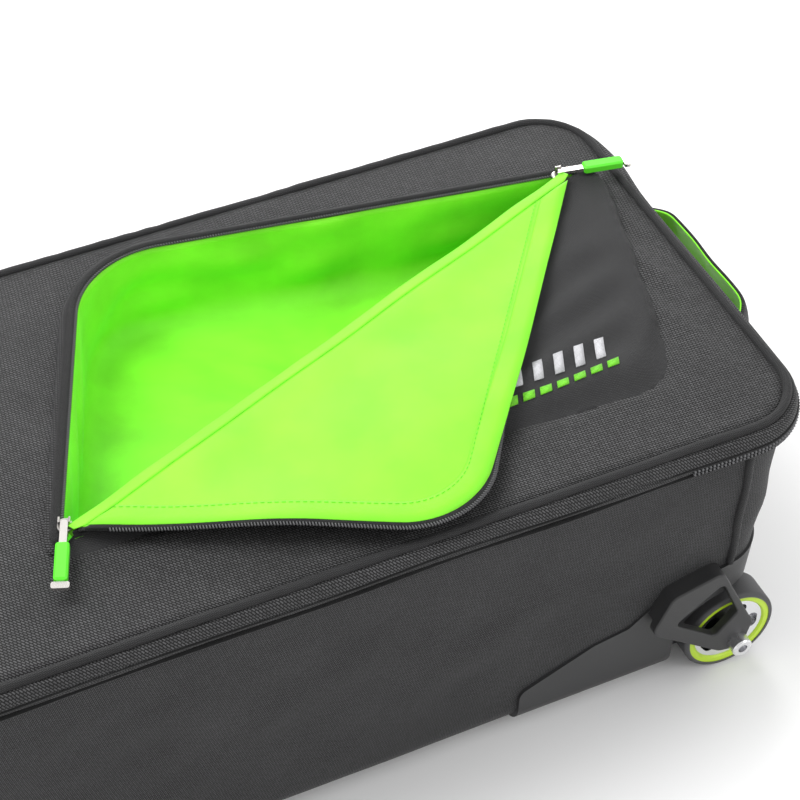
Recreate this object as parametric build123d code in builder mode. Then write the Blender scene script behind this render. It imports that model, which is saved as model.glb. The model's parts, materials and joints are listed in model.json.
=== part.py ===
"""Wheeled snowboard bag: a long padded bag, a zipped lid with a lined pocket, two inline wheels.

Millimetres, +Z up, +X towards the wheel end. The lid hinges on the long side that faces -Y.
The origin is on the ground, under the middle of the bag.
"""

import os
from math import atan2, cos, degrees, hypot, radians, sin

from build123d import *

# Body: (half length, half width, corner radius) of its outline at the base and at the top
BASE_HALF = (814.0, 159.0, 32.0)
TOP_HALF = (830.0, 171.0, 40.0)
BASE_Z = 6.0
SEAM_Z = 9.0
WALL_TOP = 221.0
EDGE_ROUND = 22.0
FABRIC = 2.0
FOAM = 5.0
LINING = 1.0
CORNER_X = 790.0  # where the long walls meet the end walls

# Lid and main zip
LIP_HALF = (843.0, 178.0, 50.0)
LID_HALF = (834.0, 169.0, 41.0)
LID_LOW = 230.5
LID_TOP = 238.0
PIPING_R = 3.0
ZIP_Z = 225.0
ZIP_START_X = 741.0
COIL = 2.4
COIL_IN = 1.5  # half of the gap between a zip's two coils
TAPE = 1.0
TAPE_W = 9.0
HINGE_STRIP_Y = 181.2

# Pocket on the lid: the corners of its zip line, the fold's far end, and the heights
POCKET_A = (364.0, -86.0)
POCKET_C = (456.0, 147.0)
POCKET_P = (812.0, 88.0)
POCKET_Q = (758.0, -107.0)
CORNER_ROUNDS = (3.0, 64.0, 10.0, 26.0)
FOLD_END_X = 798.0
POCKET_FLOOR = 176.0
PANEL_LOW = 246.4
PANEL_TOP = 249.0
FOLD_Z = 249.5
FOLD_CLEAR = 3.0
FLAP_LINING = 1.0
FLAP_SHELL = 1.4
ZIP_FROM_FOLD = 22.0  # the flap's coil stops this far from the fold
GUSSET = 2.0
BAG_OUT = 4.8  # the bag's wall, outside the zip's centre line
BAG_TOP = 245.9
COIL_LOW = 246.6
TAPE_LOW = 247.3
FLAP_LOW = 246.6  # the flap's underside when it is closed
SLIDER_CLEAR_R = 17.0
POCKET_TAPE_W = 4.0
FOLD_SHARE = (POCKET_P[0] - FOLD_END_X) / (POCKET_P[0] - POCKET_C[0])
FOLD_END = (FOLD_END_X, POCKET_P[1] + FOLD_SHARE * (POCKET_C[1] - POCKET_P[1]))
FOLD_LENGTH = hypot(FOLD_END[0] - POCKET_A[0], FOLD_END[1] - POCKET_A[1])
FOLD_DIR = ((FOLD_END[0] - POCKET_A[0]) / FOLD_LENGTH, (FOLD_END[1] - POCKET_A[1]) / FOLD_LENGTH)
FOLD_ANGLE = degrees(atan2(FOLD_DIR[1], FOLD_DIR[0]))

# Zip sliders and pulls
SLIDER_L = 11.0
SLIDER_FROM_FOLD = 9.5
PLATE_T = 1.3
PLATE_GAP = 0.4
SLIDER_INNER_HALF = 2.0
BAIL_RISE = 2.3
BAIL_R = 0.8
PULL_L = 52.5
PULL_W = 11.0
PULL_T = 2.4
GRIP_L = 29.0
GRIP_W = 8.4
GRIP_T = 6.4
BAR_L = 6.0
PULL_DIP = 1.0  # degrees that the pocket's pulls hang below level
MAIN_SLIDER_X = 24.0  # the two main sliders park this far each side of the middle of the +Y side

# Wheels and their housings
WHEEL_X = 797.0
WHEEL_Y = 158.0
WHEEL_R = 35.0
TREAD_IN_R = 31.5
CORE_IN_R = 26.5
BEARING_R = 11.0
BEARING_W = 7.0
WHEEL_W = 24.0
AXLE_R = 4.0
RUNNING = 0.05
HUB_INSET = 2.0
NUT_H = 6.0
WELL_R = 43.0
WELL_T = 3.0
WELL_IN_Y = 142.0
PLATE_OUT = 4.0
HOUSING_START_X = 636.0
GUARD_IN_Y = 173.5
GUARD_OUT_Y = 180.0

# Handles
STRAP_T = 3.0
STRAP_W = 25.0
END_HANDLE_X = 830.0
END_HANDLE_Z = 204.0
END_HANDLE_TILT = 15.0
END_HANDLE_OUT = 34.0
END_HANDLE_HALF = 92.0
SIDE_HANDLE_Z = 200.0
SIDE_HANDLE_Y = 174.0
SIDE_HANDLE_HALF = 82.0
SIDE_HANDLE_DROP = 60.0
PATCH_T = 2.4

RUNNER_Y = 95.0
RUNNER_W = 22.0
SIDES = {"front": -1, "back": 1}
ENDS = {"wheel_end": 1, "handle_end": -1}

os.makedirs("parts", exist_ok=True)


def finish(part, label):
    """Label a finished piece and write its file."""
    part.label = label
    export_step(part, f"parts/{label}.step")


# ---------------------------------------------------------------- shared outlines


def outline(half, grow=0.0, mode=Mode.ADD):
    """A rounded rectangle in the current sketch."""
    return RectangleRounded(2 * (half[0] + grow), 2 * (half[1] + grow), half[2] + grow, mode=mode)


def bag_form(grow):
    """The whole body as one tapered block with a rounded lower edge, grown outwards by grow."""
    with BuildPart() as form:
        with BuildSketch(Plane.XY.offset(BASE_Z - grow)):
            outline(BASE_HALF, grow)
        with BuildSketch(Plane.XY.offset(WALL_TOP)):
            outline(TOP_HALF, grow)
        loft(ruled=True)
        fillet(form.faces().sort_by(Axis.Z)[0].edges(), EDGE_ROUND + grow)
    return form.part


def flat_ring(half, out, inside, low, high):
    """A ring between two offsets of one rounded rectangle."""
    with BuildPart() as ring:
        with BuildSketch(Plane.XY.offset(low)):
            outline(half, out)
            outline(half, inside, mode=Mode.SUBTRACT)
        extrude(amount=high - low)
    return ring.part


def wheel_room(side, radius, inner_y):
    """The space round a wheel: an arch over it, open below and outwards."""
    out_y = 230.0
    with BuildPart() as room:
        with BuildSketch(Plane.XZ.offset(-side * inner_y)):
            with Locations((WHEEL_X, WHEEL_R)):
                Circle(radius)
            with Locations((WHEEL_X - radius, WHEEL_R)):
                Rectangle(150.0, 90.0, align=(Align.MIN, Align.MAX))
        extrude(amount=-side * (out_y - inner_y))
    return room.part


FORM = bag_form(0.0)
FORM_INNER = bag_form(-FABRIC)
FORM_PADDED = bag_form(-FABRIC - FOAM)
FORM_LINED = bag_form(-FABRIC - FOAM - LINING)
FORM_GUARDED = bag_form(PLATE_OUT)
WELLS = [wheel_room(side, WELL_R + WELL_T + 0.05, WELL_IN_Y - WELL_T - 0.05) for side in SIDES.values()]


# ---------------------------------------------------------------- body


def make_side_wall(label, side):
    """One long wall of fabric, between the two end walls."""
    with BuildPart() as wall:
        add(FORM)
        add(FORM_INNER, mode=Mode.SUBTRACT)
        with BuildSketch(Plane.XY.offset(SEAM_Z)):
            with Locations((0, side * 150.0)):
                Rectangle(2 * CORNER_X, 300.0)
        extrude(amount=WALL_TOP - SEAM_Z, mode=Mode.INTERSECT)
        for well in WELLS:
            add(well, mode=Mode.SUBTRACT)
    finish(wall.part, label)


def make_end_wall(label, end):
    """One end wall, which turns the two corners of its end."""
    with BuildPart() as wall:
        add(FORM)
        add(FORM_INNER, mode=Mode.SUBTRACT)
        with BuildSketch(Plane.XY.offset(SEAM_Z)):
            with Locations((end * (CORNER_X + 100.0), 0)):
                Rectangle(200.0, 400.0)
        extrude(amount=WALL_TOP - SEAM_Z, mode=Mode.INTERSECT)
        for well in WELLS:
            add(well, mode=Mode.SUBTRACT)
    finish(wall.part, label)


def make_base_panel():
    """The coated base, which turns up into the walls' lower seam."""
    with BuildPart() as base:
        add(FORM)
        add(FORM_INNER, mode=Mode.SUBTRACT)
        with BuildSketch():
            Rectangle(2000.0, 600.0)
        extrude(amount=SEAM_Z, mode=Mode.INTERSECT)
        for well in WELLS:
            add(well, mode=Mode.SUBTRACT)
    finish(base.part, "base_panel")


def make_padding_and_lining():
    """Foam in the walls, a stiff board in the base, and the lining over both."""
    foam_low = SEAM_Z + 7.0
    with BuildPart() as padding:
        add(FORM_INNER)
        add(FORM_PADDED, mode=Mode.SUBTRACT)
        with BuildSketch(Plane.XY.offset(foam_low)):
            Rectangle(2000.0, 600.0)
        extrude(amount=WALL_TOP - foam_low, mode=Mode.INTERSECT)
        for well in WELLS:
            add(well, mode=Mode.SUBTRACT)
    finish(padding.part, "wall_padding")

    board_low = BASE_Z + FABRIC
    with BuildPart() as board:
        with BuildSketch(Plane.XY.offset(board_low)):
            outline(BASE_HALF, -EDGE_ROUND - 3.0)
        extrude(amount=FOAM)
        for well in WELLS:
            add(well, mode=Mode.SUBTRACT)
    finish(board.part, "base_board")

    with BuildPart() as lining:
        add(FORM_PADDED)
        add(FORM_LINED, mode=Mode.SUBTRACT)
        for well in WELLS:
            add(well, mode=Mode.SUBTRACT)
    finish(lining.part, "body_lining")


def make_corner_piping():
    """Corded seams up the four corners, from the corner guards to the lip."""
    foot_z = 112.0
    share = (foot_z - BASE_Z) / (WALL_TOP - BASE_Z)
    foot_y = BASE_HALF[1] + share * (TOP_HALF[1] - BASE_HALF[1])
    stand_off = PIPING_R - 0.8
    with BuildPart() as piping:
        for side in SIDES.values():
            for end in ENDS.values():
                foot = Vector(end * CORNER_X, side * (foot_y + stand_off), foot_z)
                head = Vector(end * CORNER_X, side * (TOP_HALF[1] + stand_off), WALL_TOP - 0.5)
                with BuildSketch(Plane(foot, z_dir=head - foot)):
                    Circle(PIPING_R)
                extrude(amount=(head - foot).length)
        add(FORM, mode=Mode.SUBTRACT)
    finish(piping.part, "corner_piping")


def make_runners():
    """Two moulded skid rails under the base."""
    for label, side in SIDES.items():
        with BuildPart() as runner:
            with BuildSketch():
                with Locations((-80.0, side * RUNNER_Y)):
                    SlotOverall(1300.0, RUNNER_W)
            extrude(amount=BASE_Z)
            chamfer(runner.faces().sort_by(Axis.Z)[0].edges(), 1.5)
        finish(runner.part, f"base_runner_{label}")


def make_kick_plate():
    """A moulded scuff plate round the lower edge of the handle end."""
    with BuildPart() as plate:
        add(FORM_GUARDED)
        add(FORM, mode=Mode.SUBTRACT)
        with BuildSketch(Plane.XZ.offset(-300.0)):
            with BuildLine():
                FilletPolyline(
                    (-900.0, -10.0), (-900.0, 96.0), (-770.0, 96.0), (-690.0, 40.0), (-690.0, -10.0),
                    radius=14.0, close=True,
                )
            make_face()
        extrude(amount=600.0, mode=Mode.INTERSECT)
        with BuildSketch(Plane.XY.offset(-20.0)):
            Rectangle(1560.0, 250.0)
        extrude(amount=40.0, mode=Mode.SUBTRACT)
    finish(plate.part, "kick_plate")


# ---------------------------------------------------------------- wheels


def closed_sketch(points, radius):
    """A closed outline with rounded corners, as a sketch on its own."""
    with BuildSketch() as drawn:
        with BuildLine():
            FilletPolyline(*points, radius=radius, close=True)
        make_face()
    return drawn.sketch


def housing_sketch():
    """The outline of the moulded corner, seen from the side."""
    return closed_sketch(
        [
            (HOUSING_START_X, -20.0), (HOUSING_START_X, 44.0), (690.0, 69.0), (716.0, 74.0),
            (742.0, 98.0), (792.0, 107.0), (900.0, 107.0), (900.0, -20.0),
        ],
        9.0,
    )


def guard_sketch():
    """The three-cornered loop that reaches down to the axle's outer end."""
    with BuildSketch() as drawn:
        add(closed_sketch([(726, 76), (740, 106), (778, 115), (808, 50), (802, 26), (783, 30)], 9.0))
        add(closed_sketch([(744, 77), (779, 103), (794, 67), (778, 49)], 4.0), mode=Mode.SUBTRACT)
    return drawn.sketch


def make_wheel_housing(label, side):
    """A moulded corner with the wheel's well, and the guard that carries the axle's outer end."""
    well_plane = Plane.XZ.offset(-side * (WELL_IN_Y - WELL_T))
    with BuildPart() as skin:
        add(FORM_GUARDED)
        add(FORM, mode=Mode.SUBTRACT)
        with BuildSketch(Plane.XZ.offset(-side * 112.0)):
            add(housing_sketch())
        extrude(amount=-side * 120.0, mode=Mode.INTERSECT)
    with BuildPart() as well:
        with BuildSketch(well_plane):
            with Locations((WHEEL_X, WHEEL_R)):
                Circle(WELL_R + WELL_T)
            with Locations((WHEEL_X - WELL_R - WELL_T, WHEEL_R)):
                Rectangle(150.0, 31.0, align=(Align.MIN, Align.MAX))
        extrude(amount=-side * 60.0)
        add(FORM_GUARDED, mode=Mode.INTERSECT)
    with BuildPart() as guard:
        with BuildSketch(Plane.XZ.offset(-side * GUARD_IN_Y)):
            add(guard_sketch())
        extrude(amount=-side * (GUARD_OUT_Y - GUARD_IN_Y))
        fillet(guard.faces().sort_by(Axis.Y)[-1 if side > 0 else 0].edges(), 1.5)
    with BuildPart() as bridge:
        with BuildSketch(Plane.XZ.offset(-side * 163.0)):
            add(guard_sketch())
            with Locations((760.0, 84.0)):
                Rectangle(120.0, 80.0, align=(Align.CENTER, Align.MAX), mode=Mode.SUBTRACT)
        extrude(amount=-side * (GUARD_IN_Y + 1.0 - 163.0))
        add(FORM, mode=Mode.SUBTRACT)
    with BuildPart() as housing:
        add(skin.part)
        add(well.part)
        add(wheel_room(side, WELL_R, WELL_IN_Y), mode=Mode.SUBTRACT)
        add(bridge.part)
        add(guard.part)
        with BuildSketch(well_plane):
            with Locations((WHEEL_X, WHEEL_R)):
                Circle(AXLE_R)
        extrude(amount=-side * 60.0, mode=Mode.SUBTRACT)
    finish(housing.part, label)


def ring_along_y(side, near_y, far_y, outer, bore):
    """A plain ring on the wheel's axis, between two distances from the bag's middle."""
    with BuildPart() as ring:
        with BuildSketch(Plane.XZ.offset(-side * near_y)):
            with Locations((WHEEL_X, WHEEL_R)):
                Circle(outer)
                if bore:
                    Circle(bore, mode=Mode.SUBTRACT)
        extrude(amount=-side * (far_y - near_y))
    return ring.part


def make_wheel(prefix, side):
    """Tread, coloured core, spoked hub and two bearings, which all turn together."""
    near = WHEEL_Y - WHEEL_W / 2
    far = WHEEL_Y + WHEEL_W / 2
    with BuildPart() as tread:
        add(ring_along_y(side, near, far, WHEEL_R, TREAD_IN_R))
        fillet(tread.edges().filter_by(GeomType.CIRCLE).group_by(SortBy.RADIUS)[-1], 2.5)
    finish(tread.part, f"{prefix}_tread")

    with BuildPart() as core:
        add(ring_along_y(side, near + 0.6, far - 0.6, TREAD_IN_R, CORE_IN_R))
        chamfer(core.edges().filter_by(GeomType.CIRCLE).group_by(SortBy.RADIUS)[0], 1.2)
    finish(core.part, f"{prefix}_core")

    window_r = 18.3
    with BuildPart() as hub:
        add(ring_along_y(side, near + HUB_INSET, far - HUB_INSET, CORE_IN_R, BEARING_R))
        with BuildSketch(Plane.XZ.offset(-side * (near + 1.0))):
            with Locations((WHEEL_X, WHEEL_R)):
                with PolarLocations(window_r, 5):
                    SlotOverall(14.5, 9.4, rotation=90.0)
        extrude(amount=-side * WHEEL_W, mode=Mode.SUBTRACT)
    finish(hub.part, f"{prefix}_hub")

    with BuildPart() as bearings:
        bore = AXLE_R + RUNNING
        add(ring_along_y(side, near + HUB_INSET, near + HUB_INSET + BEARING_W, BEARING_R, bore))
        add(ring_along_y(side, far - HUB_INSET - BEARING_W, far - HUB_INSET, BEARING_R, bore))
    finish(bearings.part, f"{prefix}_bearings")


def make_axle_bolts():
    """Two axle bolts, each with a socket head outside its guard."""
    head_h = 8.0
    with BuildPart() as bolts:
        for side in SIDES.values():
            shank_in = WELL_IN_Y - WELL_T - NUT_H
            add(ring_along_y(side, GUARD_OUT_Y, GUARD_OUT_Y + head_h, 7.5, 3.4))
            add(ring_along_y(side, GUARD_OUT_Y, GUARD_OUT_Y + head_h - 4.0, 7.5, 0.0))
            add(ring_along_y(side, shank_in, GUARD_OUT_Y + 1.0, AXLE_R, 0.0))
        circles = bolts.edges().filter_by(GeomType.CIRCLE)
        rims = circles.filter_by(lambda edge: abs(edge.radius - 7.5) < 0.01)
        chamfer(rims.group_by(Axis.Y)[0] + rims.group_by(Axis.Y)[-1], 1.0)
    finish(bolts.part, "axle_bolts")


def make_axle_nuts():
    """Two nuts inside the wells."""
    with BuildPart() as nuts:
        for side in SIDES.values():
            with BuildSketch(Plane.XZ.offset(-side * (WELL_IN_Y - WELL_T - NUT_H))):
                with Locations((WHEEL_X, WHEEL_R)):
                    RegularPolygon(7.5, 6)
                    Circle(AXLE_R, mode=Mode.SUBTRACT)
            extrude(amount=-side * NUT_H)
    finish(nuts.part, "axle_nuts")


def make_axle_sleeves():
    """Plain sleeves that space the wheels from the wells and from the guards."""
    stand_off = 0.2
    near = WHEEL_Y - WHEEL_W / 2 + HUB_INSET - stand_off
    far = WHEEL_Y + WHEEL_W / 2 - HUB_INSET + stand_off
    with BuildPart() as sleeves:
        for side in SIDES.values():
            add(ring_along_y(side, WELL_IN_Y, near, 6.0, AXLE_R))
            add(ring_along_y(side, far, GUARD_IN_Y, 6.0, AXLE_R))
    finish(sleeves.part, "axle_sleeves")


# ---------------------------------------------------------------- main zip and lid


def zip_coil(centre_z, low_side):
    """One coil of the main zip, from its start on the hinge side round the whole lip."""
    with BuildPart() as coil:
        add(flat_ring(LIP_HALF, COIL / 2, -COIL / 2, centre_z - COIL / 2, centre_z + COIL / 2))
        with BuildSketch(Plane.XY.offset(low_side)):
            with Locations((0, -LIP_HALF[1])):
                Rectangle(2 * ZIP_START_X, 20.0)
        extrude(amount=10.0, mode=Mode.SUBTRACT)
    return coil.part


def zip_tape(low_z):
    """One tape of the main zip, with the strip that hinges the lid along the -Y side."""
    grow = -COIL / 2
    with BuildPart() as tape:
        add(flat_ring(LIP_HALF, grow, grow - TAPE_W, low_z, low_z + TAPE))
        strip_w = HINGE_STRIP_Y - LIP_HALF[1] - grow + 2.0
        with BuildSketch(Plane.XY.offset(low_z)):
            with Locations((0, -HINGE_STRIP_Y)):
                Rectangle(2 * ZIP_START_X - 4.0, strip_w, align=(Align.CENTER, Align.MIN))
        extrude(amount=TAPE)
    return tape.part


def make_main_zip():
    """Both halves of the main zip."""
    body_z = ZIP_Z - COIL_IN - COIL / 2
    lid_z = ZIP_Z + COIL_IN + COIL / 2
    finish(zip_coil(body_z, body_z - 5.0), "body_zip_coil")
    finish(zip_coil(lid_z, lid_z - 5.0), "lid_zip_coil")
    finish(zip_tape(WALL_TOP + 0.1), "body_zip_tape")
    finish(zip_tape(lid_z - TAPE / 2), "lid_zip_tape")


def make_lid_shell():
    """The lid's band, corded seam, outer fabric, foam and lining."""
    band_low = ZIP_Z + COIL_IN + COIL / 2 + TAPE / 2
    with BuildPart() as band:
        with BuildSketch(Plane.XY.offset(band_low)):
            outline(LIP_HALF, -2.0)
        with BuildSketch(Plane.XY.offset(LID_TOP)):
            outline(LID_HALF, 6.5)
        loft(ruled=True)
        with BuildSketch(Plane.XY.offset(band_low)):
            outline(LIP_HALF, -5.0)
        with BuildSketch(Plane.XY.offset(LID_TOP)):
            outline(LID_HALF, PIPING_R + 0.1)
        loft(ruled=True, mode=Mode.SUBTRACT)
    finish(band.part, "lid_band")

    with BuildSketch(Plane.XY.offset(LID_TOP - 0.5)) as line:
        outline(LID_HALF)
    path = line.sketch.faces()[0].outer_wire()
    with BuildPart() as piping:
        with BuildSketch(Plane(path @ 0, z_dir=path % 0)):
            Circle(PIPING_R)
        sweep(path=path)
    finish(piping.part, "lid_piping")

    layers = {
        "lid_lining": (LID_LOW, LID_LOW + LINING),
        "lid_padding": (LID_LOW + LINING, LID_TOP - FABRIC),
        "lid_panel": (LID_TOP - FABRIC, LID_TOP),
    }
    for label, (low, high) in layers.items():
        with BuildPart() as layer:
            with BuildSketch(Plane.XY.offset(low)):
                outline(LID_HALF, -PIPING_R - 0.1)
                add(pocket_sketch(BAG_OUT + 0.1), mode=Mode.SUBTRACT)
            extrude(amount=high - low)
        finish(layer.part, label)


def pocket_sketch(grow):
    """The pocket's outline, offset from the centre line of its zip."""
    corners = [POCKET_A, POCKET_C, POCKET_P, POCKET_Q]
    with BuildSketch() as drawn:
        with BuildLine():
            Polyline(*corners, close=True)
        make_face()
        for corner, radius in zip(corners, CORNER_ROUNDS):
            fillet(drawn.vertices().sort_by_distance((*corner, 0))[0], radius)
        if grow:
            offset(amount=grow, kind=Kind.ARC, mode=Mode.REPLACE)
    return drawn.sketch


def fold_side_sketch(from_fold, side):
    """A large area on one side of the fold: side is 1 towards C and -1 away from it."""
    with BuildSketch() as drawn:
        with Locations(Location((*POCKET_A, 0), (0, 0, FOLD_ANGLE))):
            with Locations((0, side * from_fold)):
                low_edge = Align.MIN if side > 0 else Align.MAX
                Rectangle(1600.0, 600.0, align=(Align.CENTER, low_edge))
    return drawn.sketch


def slider_places():
    """Where the two pocket sliders stand: plan centre, and direction in which each closes the zip."""
    toward_c = Vector(*POCKET_C) - Vector(*POCKET_A)
    toward_b = Vector(*POCKET_C) - Vector(*FOLD_END)
    start_a = Vector(*POCKET_A) + toward_c.normalized() * SLIDER_FROM_FOLD
    start_b = Vector(*FOLD_END) + toward_b.normalized() * SLIDER_FROM_FOLD
    return {"left": (start_a, toward_c.normalized()), "rear": (start_b, toward_b.normalized())}


def make_pocket_body():
    """The pocket's bag, its raised gusset, and the fixed part of its panel."""
    with BuildPart() as bag:
        with BuildSketch(Plane.XY.offset(POCKET_FLOOR)):
            add(pocket_sketch(BAG_OUT))
        extrude(amount=BAG_TOP - POCKET_FLOOR)
        with BuildSketch(Plane.XY.offset(POCKET_FLOOR + LINING)):
            add(pocket_sketch(BAG_OUT - LINING))
        extrude(amount=BAG_TOP - POCKET_FLOOR, mode=Mode.SUBTRACT)
    finish(bag.part, "pocket_bag")

    with BuildPart() as gusset:
        with BuildSketch(Plane.XY.offset(LID_TOP)):
            add(pocket_sketch(BAG_OUT + 0.1 + GUSSET))
            add(pocket_sketch(BAG_OUT + 0.1), mode=Mode.SUBTRACT)
        extrude(amount=TAPE_LOW - LID_TOP)
    finish(gusset.part, "pocket_gusset")

    with BuildPart() as panel:
        with BuildSketch(Plane.XY.offset(PANEL_LOW)):
            add(pocket_sketch(BAG_OUT))
            add(fold_side_sketch(FOLD_CLEAR, -1), mode=Mode.INTERSECT)
        extrude(amount=PANEL_TOP - PANEL_LOW)
    finish(panel.part, "pocket_panel")


def open_zip_sketch(out, inside, from_fold):
    """A band that follows the pocket's zip on the C side of the fold."""
    with BuildSketch() as drawn:
        add(pocket_sketch(out))
        add(pocket_sketch(inside), mode=Mode.SUBTRACT)
        add(fold_side_sketch(from_fold, 1), mode=Mode.INTERSECT)
    return drawn.sketch


def make_pocket_zip():
    """The half of the pocket's zip that stays on the lid: coil and tape."""
    with BuildPart() as coil:
        with BuildSketch(Plane.XY.offset(COIL_LOW)):
            add(open_zip_sketch(COIL_IN + COIL, COIL_IN, FOLD_CLEAR))
        extrude(amount=COIL)
    finish(coil.part, "pocket_zip_coil")

    with BuildPart() as tape:
        with BuildSketch(Plane.XY.offset(TAPE_LOW)):
            add(open_zip_sketch(COIL_IN + COIL + POCKET_TAPE_W, COIL_IN + COIL, FOLD_CLEAR))
        extrude(amount=TAPE)
    finish(tape.part, "pocket_zip_tape")


def flap_sketch(out, inside, from_fold):
    """Part of the flap as it lies closed, clear of the two sliders."""
    with BuildSketch() as drawn:
        add(pocket_sketch(out))
        if inside is not None:
            add(pocket_sketch(inside), mode=Mode.SUBTRACT)
        add(fold_side_sketch(from_fold, 1), mode=Mode.INTERSECT)
        for place, _ in slider_places().values():
            with Locations((place.X, place.Y)):
                Circle(SLIDER_CLEAR_R, mode=Mode.SUBTRACT)
    return drawn.sketch


def make_flap():
    """The flap, laid open: each layer is drawn closed and turned over the fold."""
    cloth_out = -COIL_IN - COIL
    layers = {
        "flap_lining": (flap_sketch(cloth_out, None, FOLD_CLEAR), FLAP_LOW, FLAP_LINING),
        "flap_shell": (flap_sketch(cloth_out, None, FOLD_CLEAR), FLAP_LOW + FLAP_LINING, FLAP_SHELL),
        "flap_zip_coil": (flap_sketch(-COIL_IN, cloth_out, ZIP_FROM_FOLD), FLAP_LOW, COIL),
    }
    fold_axis = Axis((*POCKET_A, FOLD_Z), (*FOLD_DIR, 0))
    for label, (drawing, low, thick) in layers.items():
        with BuildPart() as layer:
            with BuildSketch(Plane.XY.offset(low)):
                add(drawing)
            extrude(amount=thick)
        turned = layer.part.rotate(fold_axis, 180.0)
        finish(turned, label)


# ---------------------------------------------------------------- sliders and pulls


def slider_frame(place, direction, z):
    """A plane at a slider: its x runs along the zip, its y across it, its z out of the bag."""
    return Plane(origin=(place.X, place.Y, z), x_dir=direction, z_dir=(0, 0, 1))


def make_slider(label, frame):
    """A slider round the two coils: two plates joined by a neck, and a bail for the pull.

    The frame's origin is at the middle of the coils' height, and its z axis points outwards.
    """
    half_coil = COIL / 2
    inner = half_coil + PLATE_GAP
    with BuildPart() as slider:
        with BuildSketch(frame.offset(inner)):
            SlotOverall(SLIDER_L, 9.2)
        extrude(amount=PLATE_T)
        chamfer(slider.faces().sort_by(Axis(frame.origin, frame.z_dir))[-1].edges(), 0.4)
        with BuildSketch(frame.offset(-inner - 1.2)):
            Rectangle(SLIDER_L - 1.0, 2 * SLIDER_INNER_HALF)
        extrude(amount=1.2)
        with BuildSketch(frame.offset(-inner)):
            with Locations((1.5, 0)):
                Rectangle(5.0, 2 * (COIL_IN - 0.4))
        extrude(amount=2 * inner)
        with BuildSketch(frame.offset(inner + PLATE_T)):
            for across in (-3.1, 3.1):
                with Locations((0, across)):
                    Rectangle(4.4, 1.2)
        extrude(amount=2 * BAIL_RISE)
    with BuildPart() as pin:
        pin_plane = Plane(
            origin=frame.from_local_coords(Vector(0, -3.7, inner + PLATE_T + BAIL_RISE)),
            z_dir=frame.y_dir,
        )
        with BuildSketch(pin_plane):
            Circle(BAIL_R)
        extrude(amount=7.4)
    with BuildPart() as whole:
        add(slider.part)
        add(pin.part)
    finish(whole.part, label)


def make_pull(label, pivot, out_dir, up_dir):
    """A pull on a slider's pin: a ring of wire plate, a frame bar, and a moulded grip over it."""
    frame = Plane(origin=pivot, x_dir=out_dir, z_dir=up_dir)
    with BuildPart() as pull:
        with BuildSketch(frame.offset(-PULL_T / 2)):
            with Locations((PULL_L / 2 - 1.6, 0)):
                SlotOverall(PULL_L - 1.6, 4.6)
            with Locations((PULL_L - BAR_L / 2, 0)):
                RectangleRounded(BAR_L - 1.0, PULL_W, 1.5)
        extrude(amount=PULL_T)
        bore_plane = Plane(origin=frame.from_local_coords(Vector(0, -8.0, 0)), z_dir=frame.y_dir)
        with BuildSketch(bore_plane):
            Circle(BAIL_R + 0.08)
        extrude(amount=16.0, mode=Mode.SUBTRACT)
    finish(pull.part, label)

    with BuildPart() as grip:
        with BuildSketch(frame.offset(-GRIP_T / 2)):
            with Locations((PULL_L - BAR_L - GRIP_L / 2, 0)):
                RectangleRounded(GRIP_L, GRIP_W, 2.0)
        extrude(amount=GRIP_T)
        chamfer(grip.faces().sort_by(Axis(frame.origin, frame.z_dir))[-1].edges(), 1.2)
        chamfer(grip.faces().sort_by(Axis(frame.origin, frame.z_dir))[0].edges(), 1.2)
        add(pull.part, mode=Mode.SUBTRACT)
    finish(grip.part, f"{label}_grip")


def make_pocket_sliders():
    """The two sliders of the pocket's zip, with their pulls lying outwards from the pocket."""
    pivot_rise = COIL / 2 + PLATE_GAP + PLATE_T + BAIL_RISE
    for name, (place, direction) in slider_places().items():
        frame = slider_frame(place, direction, COIL_LOW + COIL / 2)
        make_slider(f"pocket_slider_{name}", frame)
        dip = radians(PULL_DIP)
        out_dir = direction * -cos(dip) - Vector(0, 0, sin(dip))
        up_dir = direction * -sin(dip) + Vector(0, 0, cos(dip))
        make_pull(f"pocket_pull_{name}", frame.origin + Vector(0, 0, pivot_rise), out_dir, up_dir)


def make_main_sliders():
    """The two sliders of the main zip, parked on the +Y side with their pulls pointing apart."""
    pivot_out = COIL / 2 + PLATE_GAP + PLATE_T + BAIL_RISE
    for name, apart in {"left": -1, "right": 1}.items():
        place = (apart * MAIN_SLIDER_X, LIP_HALF[1], ZIP_Z)
        frame = Plane(origin=place, x_dir=(apart, 0, 0), z_dir=(0, 1, 0))
        make_slider(f"main_slider_{name}", frame)
        make_pull(f"main_pull_{name}", frame.origin + Vector(0, pivot_out, 0), (apart, 0, 0), (0, 1, 0))


# ---------------------------------------------------------------- handles


def bow_sketch(out, half):
    """A handle's bow and everything between it and the wall."""
    slope = (half - 50.0) / END_HANDLE_OUT
    back = -30.0
    foot = half - slope * back
    return closed_sketch([(back, -foot), (out, -50.0), (out, 50.0), (back, foot)], 13.0)


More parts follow.
